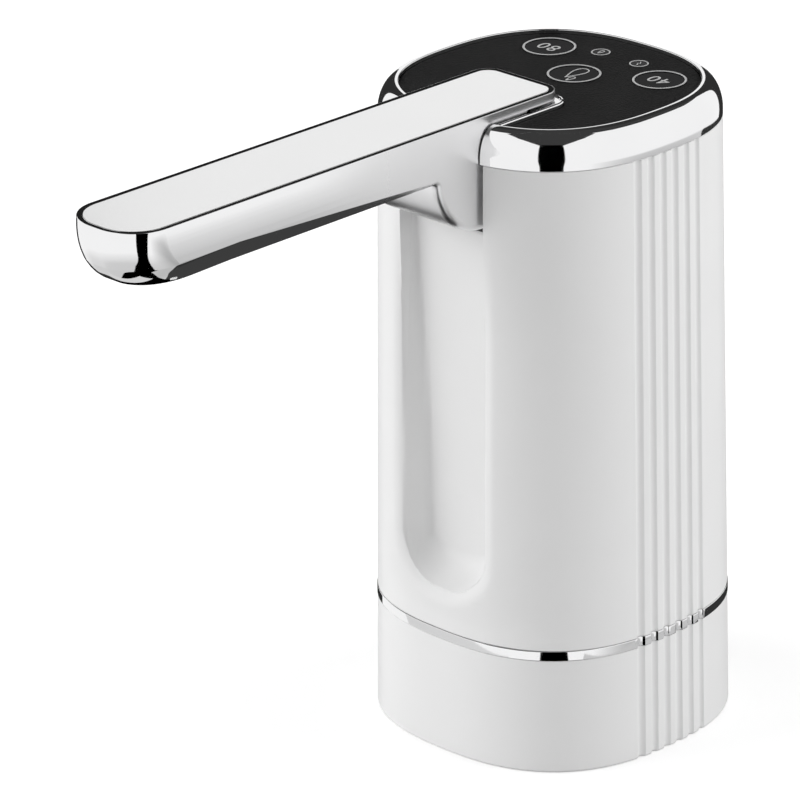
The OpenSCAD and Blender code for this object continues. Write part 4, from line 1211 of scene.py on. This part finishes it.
def direction(azimuth, elevation):
    """Direction from the object, by the azimuth from its front and the elevation."""
    a, e = radians(azimuth), radians(elevation)
    return np.array([sin(a) * cos(e), -cos(a) * cos(e), sin(e)])


TOWARD = direction(VIEW_AZIMUTH, 0)[:Z]
BESIDE = np.array([-TOWARD[Y], TOWARD[X]])


def emission(name, grey):
    """Material that glows in an even grey, with its tree and its glow."""
    material = bpy.data.materials.new(name)
    material.use_nodes = True
    tree = material.node_tree
    tree.nodes.clear()
    glow = add(tree, "Emission", {"Color": (grey, grey, grey, 1)})
    out = add(tree, "OutputMaterial")
    link((glow, "Emission", out, "Surface"))
    return material, tree, glow


def stage_mesh(name, points, faces, material, seen=False):
    """Part of the studio, which only glossy rays see unless asked."""
    obj = linked(name, mesh_of(name, points, faces))
    obj.data.materials.append(material)
    if not seen:
        obj.visible_camera = obj.visible_diffuse = obj.visible_shadow = obj.visible_transmission = False
    return obj


def floor_material():
    """Matt pale floor, which the camera sees lifted to white but for the shadow near the object."""
    material = bpy.data.materials.new("floor")
    tree, shader = nodes_of(material)
    colour = (FLOOR_GREY, FLOOR_GREY, FLOOR_GREY, 1)
    fill(shader, {"Base Color": colour, "Roughness": FLOOR_ROUGHNESS, "Specular IOR Level": 0.0})
    reach = add(tree, "VectorMath", operation="LENGTH")
    farther = add(tree, "MapRange", FLOOR_LIFT)
    lift = add(tree, "Emission", {"Color": WHITE})
    lifted = add(tree, "AddShader")
    rays = add(tree, "LightPath")
    mix = add(tree, "MixShader")
    out = tree.nodes["Material Output"]
    locate(reach, 0)
    link((reach, "Value", farther, "Value"), (farther, "Result", lift, "Strength"))
    link((shader, "BSDF", lifted, 0), (lift, "Emission", lifted, 1))
    link((rays, "Is Camera Ray", mix, "Fac"))
    link((shader, "BSDF", mix, 1), (lifted, "Shader", mix, 2))
    link((mix, "Shader", out, "Surface"))
    return material


def grid_card(name, grey, rows):
    """Card through rows of points."""
    return stage_mesh(name, *lofted(rows, False), emission(name, grey)[0])


def level_card(name, grey, outline, z):
    """Flat card over an outline in plan."""
    return stage_mesh(name, *whole(level(outline, z)), emission(name, grey)[0])


def dome_card(name, grey, rows):
    """Patch of a dome from [elevation, least azimuth, greatest azimuth] rows."""
    patch = []
    for elevation, start, end in rows:
        places = np.linspace(start, end, CARD_STEPS + 1)
        patch.append([CARD_R * direction(VIEW_AZIMUTH + azimuth, elevation) for azimuth in places])
    return grid_card(name, grey, patch)


def flag_card(name, ends, y, heights):
    """Dark upright card before the groove."""
    return grid_card(name, FLAG_GREY, [[(x, y, z) for x in ends] for z in heights])


def gap_card():
    """Dark waisted strip between the two bright sides, near the object."""
    rows = []
    for z, half in GAP_SHAPE:
        rows.append([(*(GAP_R * TOWARD + side * half * BESIDE), z) for side in (-1, 1)])
    return grid_card("gap_card", 0, rows)


def below_material():
    """Grey in the middle and white towards the edge, sooner on the left of the view."""
    material, tree, glow = emission("below_card", 1)
    plan = add(tree, "VectorMath", {1: (1 / BELOW_R, 1 / BELOW_R, 0)}, operation="MULTIPLY")
    reach = add(tree, "VectorMath", operation="LENGTH")
    aside = add(tree, "VectorMath", {1: (-BESIDE[X], -BESIDE[Y], 0)}, operation="DOT_PRODUCT")
    turn = add(tree, "Math", operation="DIVIDE")
    share = add(tree, "MapRange", BELOW_TURN)
    right = ramp(tree, [(at, [grey] * 3) for at, grey in BELOW_RIGHT])
    left = ramp(tree, [(at, [grey] * 3) for at, grey in BELOW_LEFT])
    blend = add(tree, "Mix", data_type="RGBA")
    locate(plan, 0)
    link((plan, "Vector", reach, 0), (plan, "Vector", aside, 0))
    link((aside, "Value", turn, 0), (reach, "Value", turn, 1))
    link((turn, "Value", share, "Value"), (share, "Result", blend, "Factor"))
    link((reach, "Value", right, "Fac"), (right, "Color", blend, MIX_A))
    link((reach, "Value", left, "Fac"), (left, "Color", blend, MIX_B))
    link((blend, MIX_RESULT, glow, "Color"))
    return material


def foot_card():
    """Dark card below with a round front, and a lane that runs away from the camera."""
    turn = np.linspace(0, pi, FOOT_STEPS + 1)
    outline = [FOOT_AT + FOOT_R * (TOWARD * sin(a) + BESIDE * cos(a)) for a in turn]
    outline += [FOOT_AT - TOWARD * s - BESIDE * half for s, half in FOOT_LANE]
    outline += [FOOT_AT - TOWARD * s + BESIDE * half for s, half in reversed(FOOT_LANE)]
    return level_card("foot_card", 0, outline, FOOT_Z)


def sector_card(name, start, end, near, far):
    """Dark sector of a level card below, between two azimuths and two radii."""
    turn = [direction(VIEW_AZIMUTH + a, 0)[:Z] for a in np.linspace(start, end, SECTOR_STEPS + 1)]
    return grid_card(name, BACK_GREY, [level([r * out for out in turn], SECTOR_Z) for r in (near, far)])


def studio_world():
    """White backdrop where it is seen, mirrored or shines through, and a plain level of light."""
    world = bpy.data.worlds.new("world")
    bpy.context.scene.world = world
    world.use_nodes = True
    tree = world.node_tree
    tree.nodes.clear()
    rays = add(tree, "LightPath")
    seen = add(tree, "Math", operation="MAXIMUM")
    shown = add(tree, "Math", operation="MAXIMUM")
    ambient = add(tree, "Background", {"Color": WHITE, "Strength": AMBIENT})
    backdrop = add(tree, "Background", {"Color": WHITE, "Strength": 1.0})
    mix = add(tree, "MixShader")
    out = add(tree, "OutputWorld")
    link((rays, "Is Camera Ray", seen, 0), (rays, "Is Glossy Ray", seen, 1))
    link((seen, "Value", shown, 0), (rays, "Is Transmission Ray", shown, 1))
    link((shown, "Value", mix, "Fac"))
    link((ambient, "Background", mix, 1), (backdrop, "Background", mix, 2))
    link((mix, "Shader", out, "Surface"))


def softbox(name, azimuth, elevation, distance, size, power):
    """Area light round the object, aimed at its middle."""
    light = bpy.data.lights.new(name, "AREA")
    light.shape = "RECTANGLE"
    light.size, light.size_y = size
    light.energy = power
    obj = linked(name, light)
    back = Vector(direction(azimuth, elevation))
    obj.location = Vector((0, 0, SEAM / 2 * MM)) + back * distance
    obj.rotation_mode = "QUATERNION"
    obj.rotation_quaternion = back.to_track_quat("Z", "Y")
    obj.visible_glossy = False


floor = stage_mesh("floor", *whole(level(circle(FLOOR_R, DISC_STEPS), 0)), floor_material(), seen=True)
floor.visible_glossy = False
dome_card("overhead_card", OVERHEAD_GREY, OVERHEAD)
dome_card("overhead_away", OVERHEAD_GREY, AWAY)
gap_card()
for flag in FLAGS:
    flag_card(*flag)
dome_card("back_card_left", BACK_GREY, BACK_LEFT)
dome_card("back_card_right", BACK_GREY, BACK_RIGHT)
stage_mesh("below_card", *whole(level(circle(BELOW_R, DISC_STEPS), BELOW_Z)), below_material())
foot_card()
for sector in SECTORS:
    sector_card(*sector)
level_card("band_card_front", BAND_FRONT_GREY, BAND_FRONT, BAND_CARD_Z)
level_card("band_card_side", BAND_SIDE_GREY, BAND_SIDE, BAND_CARD_Z)
level_card("away_card", AWAY_GREY, AWAY_PLAN, AWAY_Z)
studio_world()
for box in SOFTBOXES:
    softbox(*box)

bpy.context.scene.view_settings.view_transform = "Standard"
